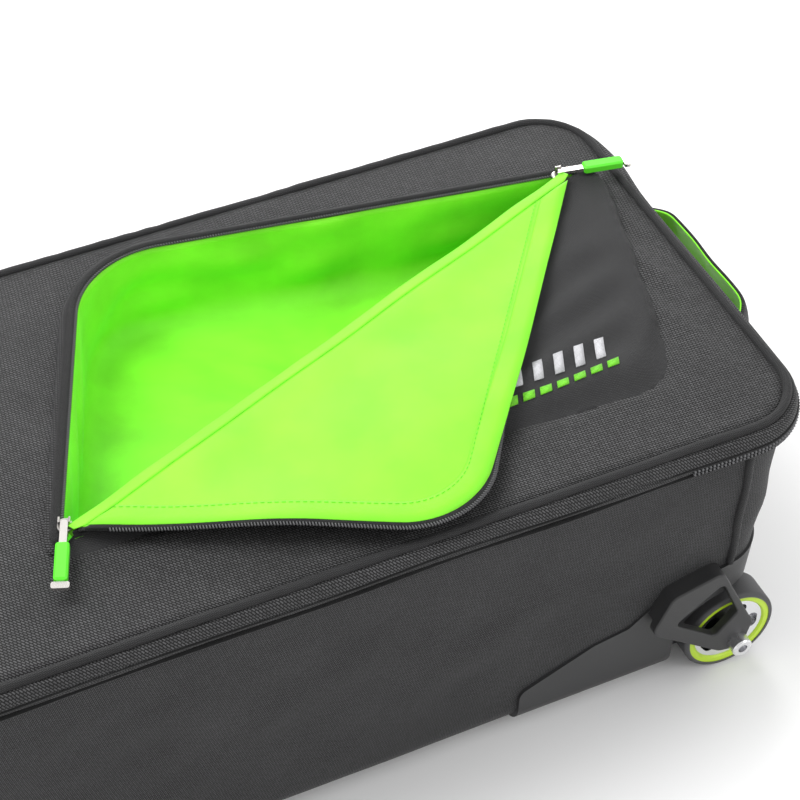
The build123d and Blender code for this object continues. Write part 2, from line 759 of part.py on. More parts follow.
def make_end_handle(prefix, end, lined):
    """A webbing grab handle that bows out from an end wall, tilted up a little."""
    tilt = radians(END_HANDLE_TILT)
    out_dir = Vector(end * cos(tilt), 0, sin(tilt))
    up_dir = Vector(-end * sin(tilt), 0, cos(tilt))
    low = Vector(end * END_HANDLE_X, 0, END_HANDLE_Z) - up_dir * (STRAP_W / 2)
    frame = Plane(origin=low, x_dir=out_dir, z_dir=up_dir)
    layers = {"": (0.0, 2.0)}
    if lined:
        layers["_lining"] = (2.0, STRAP_T)
    else:
        layers[""] = (0.0, STRAP_T)
    for suffix, (outer, inner) in layers.items():
        with BuildPart() as strap:
            with BuildSketch(frame):
                add(bow_sketch(END_HANDLE_OUT - outer, END_HANDLE_HALF - outer))
                add(bow_sketch(END_HANDLE_OUT - inner, END_HANDLE_HALF - inner), mode=Mode.SUBTRACT)
                with Locations((6.5, 0)):
                    Rectangle(60.0, 300.0, align=(Align.MIN, Align.CENTER), mode=Mode.INTERSECT)
            extrude(amount=STRAP_W)
        finish(strap.part, f"{prefix}{suffix}")


def make_side_handle(label, side):
    """A webbing carry handle hanging against a long wall."""
    with BuildPart() as strap:
        with BuildSketch(Plane.XZ.offset(-side * SIDE_HANDLE_Y)):
            low = SIDE_HANDLE_Z - SIDE_HANDLE_DROP
            high = SIDE_HANDLE_Z + 80.0
            half = SIDE_HANDLE_HALF
            add(closed_sketch([(-half, high), (-half, low), (half, low), (half, high)], 26.0))
            half = SIDE_HANDLE_HALF - STRAP_W
            low = low + STRAP_W
            inner = closed_sketch([(-half, high), (-half, low), (half, low), (half, high)], 12.0)
            add(inner, mode=Mode.SUBTRACT)
            with Locations((0, SIDE_HANDLE_Z)):
                Rectangle(400.0, 200.0, align=(Align.CENTER, Align.MAX), mode=Mode.INTERSECT)
        extrude(amount=-side * STRAP_T)
    finish(strap.part, label)


def make_handle_patches():
    """Fabric patches that the handles' ends are sewn under."""
    with BuildPart() as patches:
        add(bag_form(PATCH_T))
        add(FORM, mode=Mode.SUBTRACT)
        with BuildSketch(Plane.XY.offset(190.0)):
            arm = SIDE_HANDLE_HALF - STRAP_W / 2
            for across in (-arm, arm):
                with Locations((across, 0)):
                    Rectangle(STRAP_W + 8.0, 500.0)
            for along in (-END_HANDLE_HALF, END_HANDLE_HALF):
                with Locations((0, along)):
                    Rectangle(1900.0, 22.0)
        extrude(amount=28.0, mode=Mode.INTERSECT)
    finish(patches.part, "handle_patches")


# ---------------------------------------------------------------- the whole bag

for view, number in SIDES.items():
    make_side_wall(f"{view}_wall", number)
    make_wheel_housing(f"wheel_housing_{view}", number)
    make_wheel(f"wheel_{view}", number)
    make_side_handle(f"carry_handle_{view}", number)
for view, number in ENDS.items():
    make_end_wall(f"{view}_wall", number)
    make_end_handle(f"{view}_handle", number, lined=number > 0)
make_base_panel()
make_padding_and_lining()
make_corner_piping()
make_runners()
make_kick_plate()
make_axle_bolts()
make_axle_nuts()
make_axle_sleeves()
make_main_zip()
make_lid_shell()
make_pocket_body()
make_pocket_zip()
make_flap()
make_pocket_sliders()
make_main_sliders()
make_handle_patches()
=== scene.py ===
"""Looks of the wheeled snowboard bag: sewn cloth, zips, webbing, mouldings and metal.

Lengths in this script are millimetres in the frame's axes; make_mesh turns them into metres.
"""

import json
import math

import bpy
import numpy as np
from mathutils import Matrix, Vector
from mathutils.geometry import delaunay_2d_cdt


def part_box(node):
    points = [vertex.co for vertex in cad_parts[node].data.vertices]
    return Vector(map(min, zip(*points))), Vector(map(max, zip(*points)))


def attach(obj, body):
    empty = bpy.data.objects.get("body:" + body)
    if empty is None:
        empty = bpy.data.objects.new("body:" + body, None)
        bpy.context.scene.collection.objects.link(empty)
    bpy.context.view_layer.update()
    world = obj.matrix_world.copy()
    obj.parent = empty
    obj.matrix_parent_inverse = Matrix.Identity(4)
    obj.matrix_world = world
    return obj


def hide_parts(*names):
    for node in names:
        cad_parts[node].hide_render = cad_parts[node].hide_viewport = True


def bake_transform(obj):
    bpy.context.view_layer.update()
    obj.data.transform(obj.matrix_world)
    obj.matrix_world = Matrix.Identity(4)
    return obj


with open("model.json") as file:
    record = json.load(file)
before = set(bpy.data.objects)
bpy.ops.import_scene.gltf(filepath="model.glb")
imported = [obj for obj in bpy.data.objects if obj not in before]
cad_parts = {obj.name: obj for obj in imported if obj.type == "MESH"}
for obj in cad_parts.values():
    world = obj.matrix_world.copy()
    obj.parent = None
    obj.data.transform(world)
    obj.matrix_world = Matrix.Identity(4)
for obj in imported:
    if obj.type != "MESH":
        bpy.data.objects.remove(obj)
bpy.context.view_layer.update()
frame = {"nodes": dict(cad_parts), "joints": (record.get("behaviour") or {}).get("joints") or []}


# ------------ measures taken from the frame


def joint(name):
    """The frame's joint with that name."""
    return next(j for j in frame["joints"] if j["name"] == name)


def mm(point):
    """A point of the frame, in millimetres."""
    return np.array(point, float) * 1000.0


def span(node):
    """Lowest and highest corner of a CAD node, in millimetres."""
    low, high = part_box(node)
    return mm(low), mm(high)


WALL_HIGH = span("front_wall")[1][2]
SEAM_Z = span("front_wall")[0][2]
BASE_Z = span("base_panel")[0][2]
LIP = (span("lid_zip_coil")[1][0] - 1.2, span("lid_zip_coil")[1][1] - 1.2, 50.0)
ZIP_Z = mm(joint("lid_open")["pos_m"])[2]
PIPING_R = 3.0
LID = (span("lid_piping")[1][0] - PIPING_R, span("lid_piping")[1][1] - PIPING_R, 41.0)
LID_TOP = span("lid_panel")[1][2]
LID_UNDER = span("lid_lining")[0][2]
WALL_TOP = (span("wheel_end_wall")[1][0], span("wheel_end_wall")[1][1], 40.0)
WALL_BASE = (814.0, 159.0, 32.0)
EDGE_ROUND = 22.0  # rounding between the walls and the base
CORNER_X = 790.0  # where the upright corner seams stand
HELD_X, HELD_Z = (600.0, 660.0), (108.0, 140.0)  # the kick plate and the housings start and end here
ZIP_START_X = 741.0  # the zip's two ends, on the hinge side
ZIP_HALF = 1.25  # from the main zip's middle to each of its coils
LIP_PITCH = 2.7  # spacing of the main zip's teeth
LIP_TOOTH = (1.7, 0.72, 1.15)

FOLD_A = mm(joint("pocket_flap_fold")["pos_m"])[:2]
FOLD_Z = mm(joint("pocket_flap_fold")["pos_m"])[2]
FOLD_DIR = -np.array(joint("pocket_flap_fold")["axis"][:2])
FOLD_OUT = np.array([-FOLD_DIR[1], FOLD_DIR[0]])
FOLD_LENGTH = 467.0
POCKET = np.array([FOLD_A, (456.0, 147.0), (812.0, 88.0), (758.0, -107.0)])
POCKET_ROUNDS = (3.0, 64.0, 10.0, 26.0)
SKIRT_OUT = 12.0  # how far the panel slopes down past the pocket's outline
PANEL_TOP = span("pocket_panel")[1][2]
BAG_LOW, BAG_HIGH = span("pocket_bag")[0][2], span("pocket_bag")[1][2]
BAG_ROUND = 16.0  # rounding at the bottom of the pocket's bag
COIL_Z = (span("pocket_zip_coil")[0][2] + span("pocket_zip_coil")[1][2]) / 2
POCKET_PITCH = 1.9
POCKET_TOOTH = (2.0, 0.6, 0.95)
TOOTH_SLANT = 0.35
WHEEL = mm(joint("wheel_front_spin")["pos_m"])
WELL_R = 44.5
WELL_IN_Y = 140.0
WEB_HALF = 12.5  # half the width of the webbing
END_HANDLE_Y, SIDE_HANDLE_X = 92.0, 69.5  # from the middle to the patches over the handles' ends
PATCH_LOW, PATCH_HIGH = 189.0, 217.0


# ------------ small maths


def smooth(x, low=0.0, high=1.0):
    """0 below low, 1 above high, smooth between."""
    t = np.clip((x - low) / (high - low), 0.0, 1.0)
    return t * t * (3.0 - 2.0 * t)


def ripple(x, y, wave, seed):
    """Soft uneven waves of about the given length, from -1 to 1."""
    rng = np.random.default_rng(seed)
    total = np.zeros(np.broadcast(x, y).shape)
    for _ in range(6):
        turn = rng.uniform(0, math.tau)
        length = wave * rng.uniform(0.7, 1.5)
        phase = rng.uniform(0, math.tau)
        total += np.sin((x * math.cos(turn) + y * math.sin(turn)) * math.tau / length + phase)
    return total / 3.6


def hump(x, centre, width):
    """1 at the centre, fading out over about the width on both sides."""
    return np.exp(-(((x - centre) / width) ** 2))


def to_fold(points):
    """Plan points as (distance along the fold, distance to the pocket's open side)."""
    moved = np.asarray(points, float)[..., :2] - FOLD_A
    return np.stack([moved @ FOLD_DIR, moved @ FOLD_OUT], -1)


def from_fold(points):
    """Fold coordinates back to plan points."""
    points = np.asarray(points, float)
    return FOLD_A + points[..., :1] * FOLD_DIR + points[..., 1:2] * FOLD_OUT


def inside(points, loop):
    """Which plan points lie inside a closed loop."""
    x, y = points[:, 0][:, None], points[:, 1][:, None]
    x1, y1 = loop[:, 0], loop[:, 1]
    x2, y2 = np.roll(x1, -1), np.roll(y1, -1)
    crosses = ((y1 > y) != (y2 > y)) & (x < (x2 - x1) * (y - y1) / (y2 - y1 + 1e-12) + x1)
    return crosses.sum(1) % 2 == 1


def distance(points, loop, closed=True):
    """Distance from plan points to a loop or line."""
    a = loop if closed else loop[:-1]
    b = np.roll(loop, -1, 0) if closed else loop[1:]
    run = b - a
    best = np.full(len(points), 1e9)
    for start, along in zip(a, run):
        rel = points - start
        t = np.clip(rel @ along / (along @ along + 1e-12), 0, 1)
        best = np.minimum(best, np.linalg.norm(rel - t[:, None] * along, axis=1))
    return best


def unit(vectors):
    """The same directions, each of length one."""
    return vectors / np.linalg.norm(vectors, axis=-1, keepdims=True)


def heading(path):
    """Direction of travel at each point of a path."""
    return unit(np.gradient(path, axis=0))


def lengths(line):
    """Distance along a line to each of its points."""
    return np.concatenate([[0.0], np.cumsum(np.linalg.norm(np.diff(line, axis=0), axis=1))])


def by_count(line, count):
    """The same line with a set number of points, evenly spaced."""
    at = lengths(line)
    where = np.linspace(0.0, at[-1], count)
    return np.stack([np.interp(where, at, line[:, k]) for k in range(line.shape[1])], -1)


def resample(points, step, closed=False):
    """The same line with its points evenly spaced, about a step apart."""
    line = np.vstack([points, points[:1]]) if closed else points
    even = by_count(line, max(2, int(round(lengths(line)[-1] / step))) + 1)
    return even[:-1] if closed else even


def run_of(mask):
    """Indices of a loop's marked points, in order along their one run."""
    order = (np.arange(len(mask)) + int(np.argmax(~mask))) % len(mask)
    return order[mask[order]]


def relax(line, rounds):
    """Soften a line's bends, with its two ends held."""
    for _ in range(rounds):
        line[1:-1] = (line[:-2] + line[1:-1] * 2 + line[2:]) / 4
    return line


def at_height(plan, z):
    """Plan points raised to a height, or each to its own."""
    return np.column_stack([plan, np.broadcast_to(z, len(plan))])


def outline(corners, rounds, grow=0.0, step=5.0):
    """A polygon with rounded corners, offset outwards by grow. Its corners run clockwise."""
    count = len(corners)
    edges = unit(np.roll(corners, -1, 0) - corners)
    outward = np.stack([-edges[:, 1], edges[:, 0]], -1)
    points = []
    for k in range(count):
        before, after = outward[k - 1], outward[k]
        radius = max(rounds[k] + grow, 0.5)
        bisector = (before + after) / (1.0 + before @ after)
        centre = corners[k] + bisector * (grow - radius)
        start = math.atan2(before[1], before[0])
        turn = (math.atan2(after[1], after[0]) - start + math.pi) % math.tau - math.pi
        pieces = max(2, int(abs(turn) * radius / 4.0))
        for share in np.linspace(0, 1, pieces + 1):
            angle = start + turn * share
            points.append(centre + radius * np.array([math.cos(angle), math.sin(angle)]))
    return resample(np.array(points), step, closed=True)


N_LONG, N_ARC, N_END = 196, 12, 30  # points on a ring's long side, corner and end


def rim(half, grow=0.0):
    """Points and outward directions round a rounded rectangle, from its -X -Y corner, +X first."""
    length, width, corner = half
    cx, cy, radius = length - corner, width - corner, max(corner + grow, 0.5)
    if corner + grow < 0.5:
        cx, cy = cx + corner + grow - 0.5, cy + corner + grow - 0.5
    sides = [((-cx, -cy), (cx, -cy), -90.0, N_LONG), ((cx, -cy), (cx, cy), 0.0, N_END)]
    sides += [((cx, cy), (-cx, cy), 90.0, N_LONG), ((-cx, cy), (-cx, -cy), 180.0, N_END)]
    points, normals = [], []
    for start, end, angle, count in sides:
        facing = np.array([math.cos(math.radians(angle)), math.sin(math.radians(angle))])
        for t in np.arange(count) / count:
            points.append(np.array(start) * (1 - t) + np.array(end) * t + facing * radius)
            normals.append(facing)
        for t in np.arange(N_ARC) / N_ARC:
            turn = math.radians(angle + 90.0 * t)
            facing = np.array([math.cos(turn), math.sin(turn)])
            points.append(np.array(end) + facing * radius)
            normals.append(facing)
    return np.array(points), np.array(normals)


# ------------ mesh building


def add_to_scene(name, data):
    """A new object with that data, linked into the scene."""
    made = bpy.data.objects.new(name, data)
    bpy.context.scene.collection.objects.link(made)
    return made


def make_mesh(name, points, faces, uvs=None):
    """A mesh object from millimetre points. uvs holds one pair, in millimetres, for each face corner."""
    mesh = bpy.data.meshes.new(name)
    mesh.from_pydata((np.asarray(points) * 0.001).tolist(), [], [list(map(int, f)) for f in faces])
    if uvs is not None:
        layer = mesh.uv_layers.new(name="UVMap")
        layer.data.foreach_set("uv", (np.asarray(uvs, np.float32) * 0.001).ravel())
    mesh.validate()
    mesh.shade_smooth()
    return add_to_scene(name, mesh)


def loft(name, rings, closed=True, keep=None, cap=False):
    """A surface through rings of points: rings is (profile steps, points per ring, 3)."""
    rings = np.asarray(rings, float)
    steps, count, _ = rings.shape
    wide = np.concatenate([rings, rings[:, :1]], 1) if closed else rings
    u = lengths(wide[steps // 2])
    v = np.concatenate([[0], np.cumsum(np.linalg.norm(np.diff(rings, axis=0), axis=2).mean(1))])
    faces, uvs = [], []
    for i in range(steps - 1):
        for j in range(count if closed else count - 1):
            k = (j + 1) % count
            corners = [(i, j, j), (i, k, j + 1), (i + 1, k, j + 1), (i + 1, j, j)]
            if keep is not None and not keep(rings[[i, i, i + 1, i + 1], [j, k, k, j]].mean(0)):
                continue
            faces.append([row * count + col for row, col, _ in corners])
            uvs.extend((u[at], v[row]) for row, _, at in corners)
    if cap:
        faces.append([(steps - 1) * count + j for j in range(count)])
        uvs.extend(rings[-1, j, :2] for j in range(count))
    return make_mesh(name, rings.reshape(-1, 3), faces, uvs)


def patch(name, outer, height, step=7.0, holes=(), flip=False):
    """A surface over a plan area, with its height from a function of the plan points."""
    low, high = outer.min(0), outer.max(0)
    xs = np.arange(low[0], high[0], step)
    ys = np.arange(low[1], high[1], step * 0.866)
    grid = np.array([(x + (step / 2 if row % 2 else 0), y) for row, y in enumerate(ys) for x in xs])
    grid = grid[inside(grid, outer) & (distance(grid, outer) > 0.5 * step)]
    for hole in holes:
        grid = grid[~inside(grid, hole) & (distance(grid, hole) > 0.5 * step)]
    loops = [outer, *holes]
    edges, start = [], 0
    for loop in loops:
        edges += [(start + k, start + (k + 1) % len(loop)) for k in range(len(loop))]
        start += len(loop)
    points = np.vstack([*loops, grid])
    found = delaunay_2d_cdt([Vector(p) for p in points], edges, [], 0, 1e-6)
    plan = np.array([tuple(p) for p in found[0]])
    faces = np.array([f for f in found[2] if len(f) == 3])
    centres = plan[faces].mean(1)
    good = inside(centres, outer)
    for hole in holes:
        good &= ~inside(centres, hole)
    faces = faces[good]
    if flip:
        faces = faces[:, ::-1]
    solid = np.column_stack([plan, height(plan)])
    return make_mesh(name, solid, faces, plan[faces.ravel()])


def tube(name, path, radius, sides=8, closed=False):
    """A round cord along a path of 3-D points."""
    path = np.asarray(path, float)
    if closed:
        forward = np.roll(path, -1, 0) - np.roll(path, 1, 0)
    else:
        forward = np.gradient(path, axis=0)
    forward = unit(forward)
    side = np.cross(forward, (0, 0, 1.0))
    upright = np.linalg.norm(side, axis=1) < 1e-3
    side[upright] = (0, 1.0, 0)
    side = unit(side)
    up = np.cross(side, forward)
    radius = np.broadcast_to(radius, len(path))[:, None]
    angles = np.arange(sides) * math.tau / sides
    rings = np.array([path + (side * math.cos(a) + up * math.sin(a)) * radius for a in angles])
    count = len(path)
    along = lengths(path)
    along = np.append(along, along[-1] + np.linalg.norm(path[0] - path[-1]))
    faces, uvs = [], []
    for i in range(sides):
        n = (i + 1) % sides
        around = math.tau * float(radius[0, 0]) / sides
        for j in range(count if closed else count - 1):
            k = (j + 1) % count
            faces.append([i * count + j, i * count + k, n * count + k, n * count + j])
            uvs += [(along[j], i * around), (along[j + 1], i * around)]
            uvs += [(along[j + 1], (i + 1) * around), (along[j], (i + 1) * around)]
    if not closed:
        faces.append([i * count for i in range(sides)][::-1])
        faces.append([i * count + count - 1 for i in range(sides)])
        uvs += [(0, 0)] * (2 * sides)
    return make_mesh(name, rings.reshape(-1, 3), faces, uvs)


def studs(name, path, across, up, size, slant=0.0):
    """Many small six-sided rods, one at each path point: a zip's teeth or a row of stitches.

    across and up are directions at each point; size is (length across, half width, half height).
    """
    path, across, up = (np.asarray(a, float) for a in (path, across, up))
    across = np.broadcast_to(across, path.shape)
    up = np.broadcast_to(up, path.shape)
    along = np.cross(up, across)
    length, half_w, half_h = size
    points, faces = [], []
    ring = [(math.cos(a), math.sin(a)) for a in np.arange(6) * math.tau / 6]
    for end in (-1, 1):
        for c, s in ring:
            middle = path + across * (end * length / 2) + along * (end * slant)
            points.append(middle + along * (c * half_w) + up * (s * half_h))
    for end in (-1, 1):
        middle = path + across * (end * (length / 2 + half_h * 0.6)) + along * (end * slant)
        points.append(middle)
    points = np.stack(points, 1)
    block = []
    for k in range(6):
        n = (k + 1) % 6
        block += [(k, n, 6 + n, 6 + k), (n, k, 12), (6 + k, 6 + n, 13)]
    for item in range(len(path)):
        faces += [[item * 14 + v for v in face] for face in block]
    return make_mesh(name, points.reshape(-1, 3), faces)


def thicken(piece, thick, offset=-1.0):
    """Give a sheet its thickness, on the side that its offset says."""
    solid = piece.modifiers.new("thickness", "SOLIDIFY")
    solid.thickness = thick * 0.001
    solid.offset = offset
    solid.use_even_offset = False
    return piece


def cloth(name, rows, thick, offset=-1.0, **how):
    """A sheet of cloth through rows of points, with its thickness."""
    return thicken(loft(name, rows, **how), thick, offset)


def finish_piece(piece, body, slot, material, nodes=()):
    """Give a piece its material, the CAD nodes it stands for, and the body it rides on; the slot is not
    used.
    """
    piece.data.materials.clear()
    piece.data.materials.append(material)
    if nodes:
        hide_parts(*nodes)
    if body:
        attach(piece, body)
    return piece


def zip_teeth(name, path, size, body, look, cad_node):
    """A zip's coil along a path of 3-D points, with its teeth lying across."""
    forward = heading(path)
    out = unit(np.cross(forward, (0, 0, 1.0)))
    teeth = studs(name, path, out, np.cross(out, forward), size, TOOTH_SLANT)
    finish_piece(teeth, body, "zip_coil", look, [cad_node])


def stitch_row(name, path, size, body, slot, look):
    """A row of stitches along a path of 3-D points."""
    finish_piece(studs(name, path, heading(path), (0, 0, 1.0), size), body, slot, look)


# ------------ materials


def new_material(name):
    """A new material, its node tree and its shader."""
    material = bpy.data.materials.new(name)
    material.use_nodes = True
    tree = material.node_tree
    return material, tree, tree.nodes["Principled BSDF"]


def fill(made, **values):
    """Set a node's inputs by name, with _ for a space."""
    for key, value in values.items():
        made.inputs[key.replace("_", " ")].default_value = value


def node(tree, kind, **values):
    """A new shader node; a value whose name starts with in_ sets that input."""
    made = tree.nodes.new(kind)
    for key, value in values.items():
        if key.startswith("in_"):
            fill(made, **{key[3:]: value})
        else:
            setattr(made, key, value)
    return made


def grey(level):
    """A neutral colour, very slightly cool."""
    return (level, level, level * 1.04, 1.0)


def scaled(colour, factor):
    """The colour made darker or lighter, up to white."""
    return tuple(min(c * factor, 1.0) for c in colour[:3]) + (1.0,)


BRICK_SCALE = 0.1  # keeps the brick pattern's grooves within the widths that it allows


def weave(name, yarn, gap, cell, turn, bump, rough, tint=0.16, sheen=0.12, groove=0.3):
    """Woven cloth: staggered short yarns over darker gaps, on the piece's own UVs in millimetres."""
    material, tree, shader = new_material(name)
    link = tree.links.new
    place = node(tree, "ShaderNodeTexCoord")
    turned = node(tree, "ShaderNodeMapping")
    fill(turned, Rotation=(0, 0, math.radians(turn)), Scale=(1000.0, 1000.0, 1000.0))
    link(place.outputs["UV"], turned.inputs["Vector"])
    wander = node(tree, "ShaderNodeTexNoise", in_Scale=0.12, in_Detail=2.0)
    link(turned.outputs["Vector"], wander.inputs["Vector"])
    pull = node(tree, "ShaderNodeVectorMath", operation="MULTIPLY_ADD")
    pull.inputs[1].default_value = (1.2, 1.2, 0.0)
    link(wander.outputs["Color"], pull.inputs[0])
    link(turned.outputs["Vector"], pull.inputs[2])
    yarns = node(tree, "ShaderNodeTexBrick", offset=0.5, squash=1.0)
    fill(
        yarns,
        Scale=BRICK_SCALE,
        Mortar_Size=groove * cell[1] * BRICK_SCALE,
        Mortar_Smooth=0.7,
        Brick_Width=cell[0] * BRICK_SCALE,
        Row_Height=cell[1] * BRICK_SCALE,
        Color1=yarn,
        Color2=scaled(yarn, 1.0 - tint),
        Mortar=gap,
    )
    link(pull.outputs["Vector"], yarns.inputs["Vector"])
    cloud = node(tree, "ShaderNodeTexNoise", in_Scale=0.018, in_Detail=4.0)
    link(turned.outputs["Vector"], cloud.inputs["Vector"])
    level = node(
        tree, "ShaderNodeMapRange", in_From_Min=0.3, in_From_Max=0.7, in_To_Min=0.86, in_To_Max=1.14
    )
    link(cloud.outputs["Fac"], level.inputs["Value"])
    shaded = node(tree, "ShaderNodeMix", data_type="RGBA", blend_type="MULTIPLY")
    shaded.inputs["Factor"].default_value = 1.0
    link(yarns.outputs["Color"], shaded.inputs["A"])
    link(level.outputs["Result"], shaded.inputs["B"])
    link(shaded.outputs["Result"], shader.inputs["Base Color"])
    raised = node(tree, "ShaderNodeMath", operation="SUBTRACT")
    raised.inputs[0].default_value = 1.0
    link(yarns.outputs["Fac"], raised.inputs[1])
    relief = node(tree, "ShaderNodeBump", in_Strength=bump, in_Distance=0.0004)
    link(raised.outputs["Value"], relief.inputs["Height"])
    link(relief.outputs["Normal"], shader.inputs["Normal"])
    fill(shader, Roughness=rough, Sheen_Weight=sheen, Sheen_Roughness=0.4, Specular_IOR_Level=0.3)
    return material


def grained(name, colour, rough, grain, bump, metal=0.0, wear=0.0, worn=None):
    """A moulded or metal surface: fine grain, uneven gloss, and paler worn edges if wear is set."""
    material, tree, shader = new_material(name)
    link = tree.links.new
    place = node(tree, "ShaderNodeTexCoord")
    fine = node(tree, "ShaderNodeTexNoise", in_Scale=grain, in_Detail=3.0)
    broad = node(tree, "ShaderNodeTexNoise", in_Scale=14.0, in_Detail=5.0)
    link(place.outputs["Object"], fine.inputs["Vector"])
    link(place.outputs["Object"], broad.inputs["Vector"])
    tone = node(tree, "ShaderNodeMix", data_type="RGBA")
    fill(tone, A=scaled(colour, 0.86), B=scaled(colour, 1.16))
    link(broad.outputs["Fac"], tone.inputs["Factor"])
    result = tone.outputs["Result"]
    if wear:
        shape = node(tree, "ShaderNodeNewGeometry")
        edge = node(tree, "ShaderNodeMapRange", in_From_Min=0.5, in_From_Max=0.58, in_To_Max=wear)
        link(shape.outputs["Pointiness"], edge.inputs["Value"])
        rubbed = node(tree, "ShaderNodeMix", data_type="RGBA")
        fill(rubbed, B=worn or scaled(colour, 2.4))
        link(edge.outputs["Result"], rubbed.inputs["Factor"])
        link(result, rubbed.inputs["A"])
        result = rubbed.outputs["Result"]
    link(result, shader.inputs["Base Color"])
    gloss = node(tree, "ShaderNodeMapRange", in_To_Min=rough - 0.07, in_To_Max=rough + 0.07)
    link(broad.outputs["Fac"], gloss.inputs["Value"])
    link(gloss.outputs["Result"], shader.inputs["Roughness"])
    relief = node(tree, "ShaderNodeBump", in_Strength=bump, in_Distance=0.0003)
    link(fine.outputs["Fac"], relief.inputs["Height"])
    link(relief.outputs["Normal"], shader.inputs["Normal"])
    fill(shader, Metallic=metal)
    return material


CHARCOAL = (0.094, 0.094, 0.097, 1.0)
LIME = (0.27, 0.95, 0.035, 1.0)
LIME_DEEP = (0.2, 0.8, 0.02, 1.0)

SHELL = weave("shell weave", CHARCOAL, grey(0.003), (3.0, 1.6), 52.0, 1.0, 0.66, 0.4, 0.08, 0.34)
PANEL = weave("panel weave", grey(0.036), grey(0.01), (1.9, 1.0), 8.0, 0.6, 0.7, 0.2, 0.08, 0.22)
WALL = weave("wall weave", grey(0.07), grey(0.003), (2.5, 1.35), 58.0, 1.0, 0.72, 0.35, 0.08, 0.34)
BASE_CLOTH = weave("coated base", grey(0.014), grey(0.008), (4.0, 4.0), 0.0, 0.35, 0.5, sheen=0.0)
LINING_DARK = weave("body lining", grey(0.02), grey(0.01), (1.6, 0.8), 0.0, 0.4, 0.62)
LIME_CLOTH = weave("lime lining", LIME, LIME_DEEP, (0.9, 0.45), 0.0, 0.25, 0.5, 0.04, 0.1, groove=0.2)
TAPE_CLOTH = weave("zip tape", grey(0.016), grey(0.005), (1.8, 0.6), 90.0, 0.9, 0.78)
CORD_CLOTH = weave("corded binding", grey(0.042), grey(0.006), (1.9, 0.95), 52.0, 0.9, 0.7, 0.16, 0.08)
WEBBING = weave("webbing", grey(0.02), grey(0.005), (3.2, 1.1), 45.0, 1.0, 0.7)
THREAD_WHITE = weave("white thread", grey(0.86), grey(0.45), (6.0, 0.6), 62.0, 0.8, 0.5, sheen=0.1)
THREAD_LIME = weave("lime thread", LIME, (0.1, 0.45, 0.01, 1.0), (6.0, 0.6), 62.0, 0.8, 0.5)

COIL = grained("nylon coil", grey(0.035), 0.34, 900.0, 0.2, wear=0.3, worn=grey(0.16))
# The main zip's coil: the same nylon as COIL, with its colour and paler edges painted lighter as painted
# light falling on it; it is also a little glossier.
COIL_LIT = grained("nylon coil, glossy, painted lighter", grey(0.05), 0.26, 900.0, 0.2, wear=0.4, worn=grey(0.2))
STITCH = grained("dark thread", grey(0.05), 0.6, 1500.0, 0.4)
MOULDING = grained("moulded plastic", grey(0.02), 0.5, 1400.0, 0.35, wear=0.3, worn=grey(0.05))
TREAD = grained("tread", grey(0.05), 0.62, 900.0, 0.5, wear=0.3, worn=grey(0.2))
LIME_CORE = grained("lime core", (0.5, 0.72, 0.03, 1.0), 0.3, 500.0, 0.1)
CHROME = grained("bright hub", (0.78, 0.78, 0.8, 1.0), 0.16, 300.0, 0.05, metal=1.0)
STEEL = grained("plated steel", (0.62, 0.62, 0.64, 1.0), 0.28, 800.0, 0.15, metal=1.0, wear=0.4)
NICKEL = grained("dark nickel", (0.42, 0.4, 0.38, 1.0), 0.27, 700.0, 0.12, metal=1.0, wear=0.6)
GRIP = grained("lime grip", (0.1, 0.72, 0.02, 1.0), 0.42, 600.0, 0.2)
FOAM = grained("foam", grey(0.5), 0.9, 1200.0, 0.8)
BOARD = grained("base board", grey(0.05), 0.5, 600.0, 0.3)

CAD_LOOKS = {
    MOULDING: [
        "wheel_housing_front", "wheel_housing_back", "kick_plate",
        "base_runner_front", "base_runner_back",
    ],
    STEEL: ["axle_bolts", "axle_nuts", "axle_sleeves", "wheel_front_bearings", "wheel_back_bearings"],
    TREAD: ["wheel_front_tread", "wheel_back_tread"],
    LIME_CORE: ["wheel_front_core", "wheel_back_core"],
    CHROME: ["wheel_front_hub", "wheel_back_hub"],
    NICKEL: [
        "pocket_slider_left", "pocket_slider_rear", "main_slider_left", "main_slider_right",
        "pocket_pull_left", "pocket_pull_rear", "main_pull_left", "main_pull_right",
    ],
    GRIP: [
        "pocket_pull_left_grip", "pocket_pull_rear_grip", "main_pull_left_grip", "main_pull_right_grip",
    ],
    FOAM: ["wall_padding", "lid_padding"],
    BOARD: ["base_board"],
}
for look, names in CAD_LOOKS.items():
    for cad_name in names:
        cad_mesh = frame["nodes"][cad_name].data
        cad_mesh.materials.clear()
        cad_mesh.materials.append(look)


# ------------ shapes that several pieces share


def lip_wave(points):
    """How far the lip wanders outwards and upwards: soft cloth never runs dead straight."""
    x, y = points[:, 0], points[:, 1]
    out = 1.1 * ripple(x, y, 150.0, 3) + 5.0 * hump(y, 106.0, 30.0) * smooth(x, 800.0, 830.0)
    up = 1.0 * ripple(x, y, 170.0, 4)
    return out, up


def ring_at(half, grow, z, share=1.0):
    """A ring of 3-D points that follows the lip's wandering by a share from 0 to 1."""
    points, normals = rim(half, grow)
    lip_points, _ = rim(LIP)
    out, up = lip_wave(lip_points)
    points = points + normals * (out * share)[:, None]
    return np.column_stack([points, z + up * share])


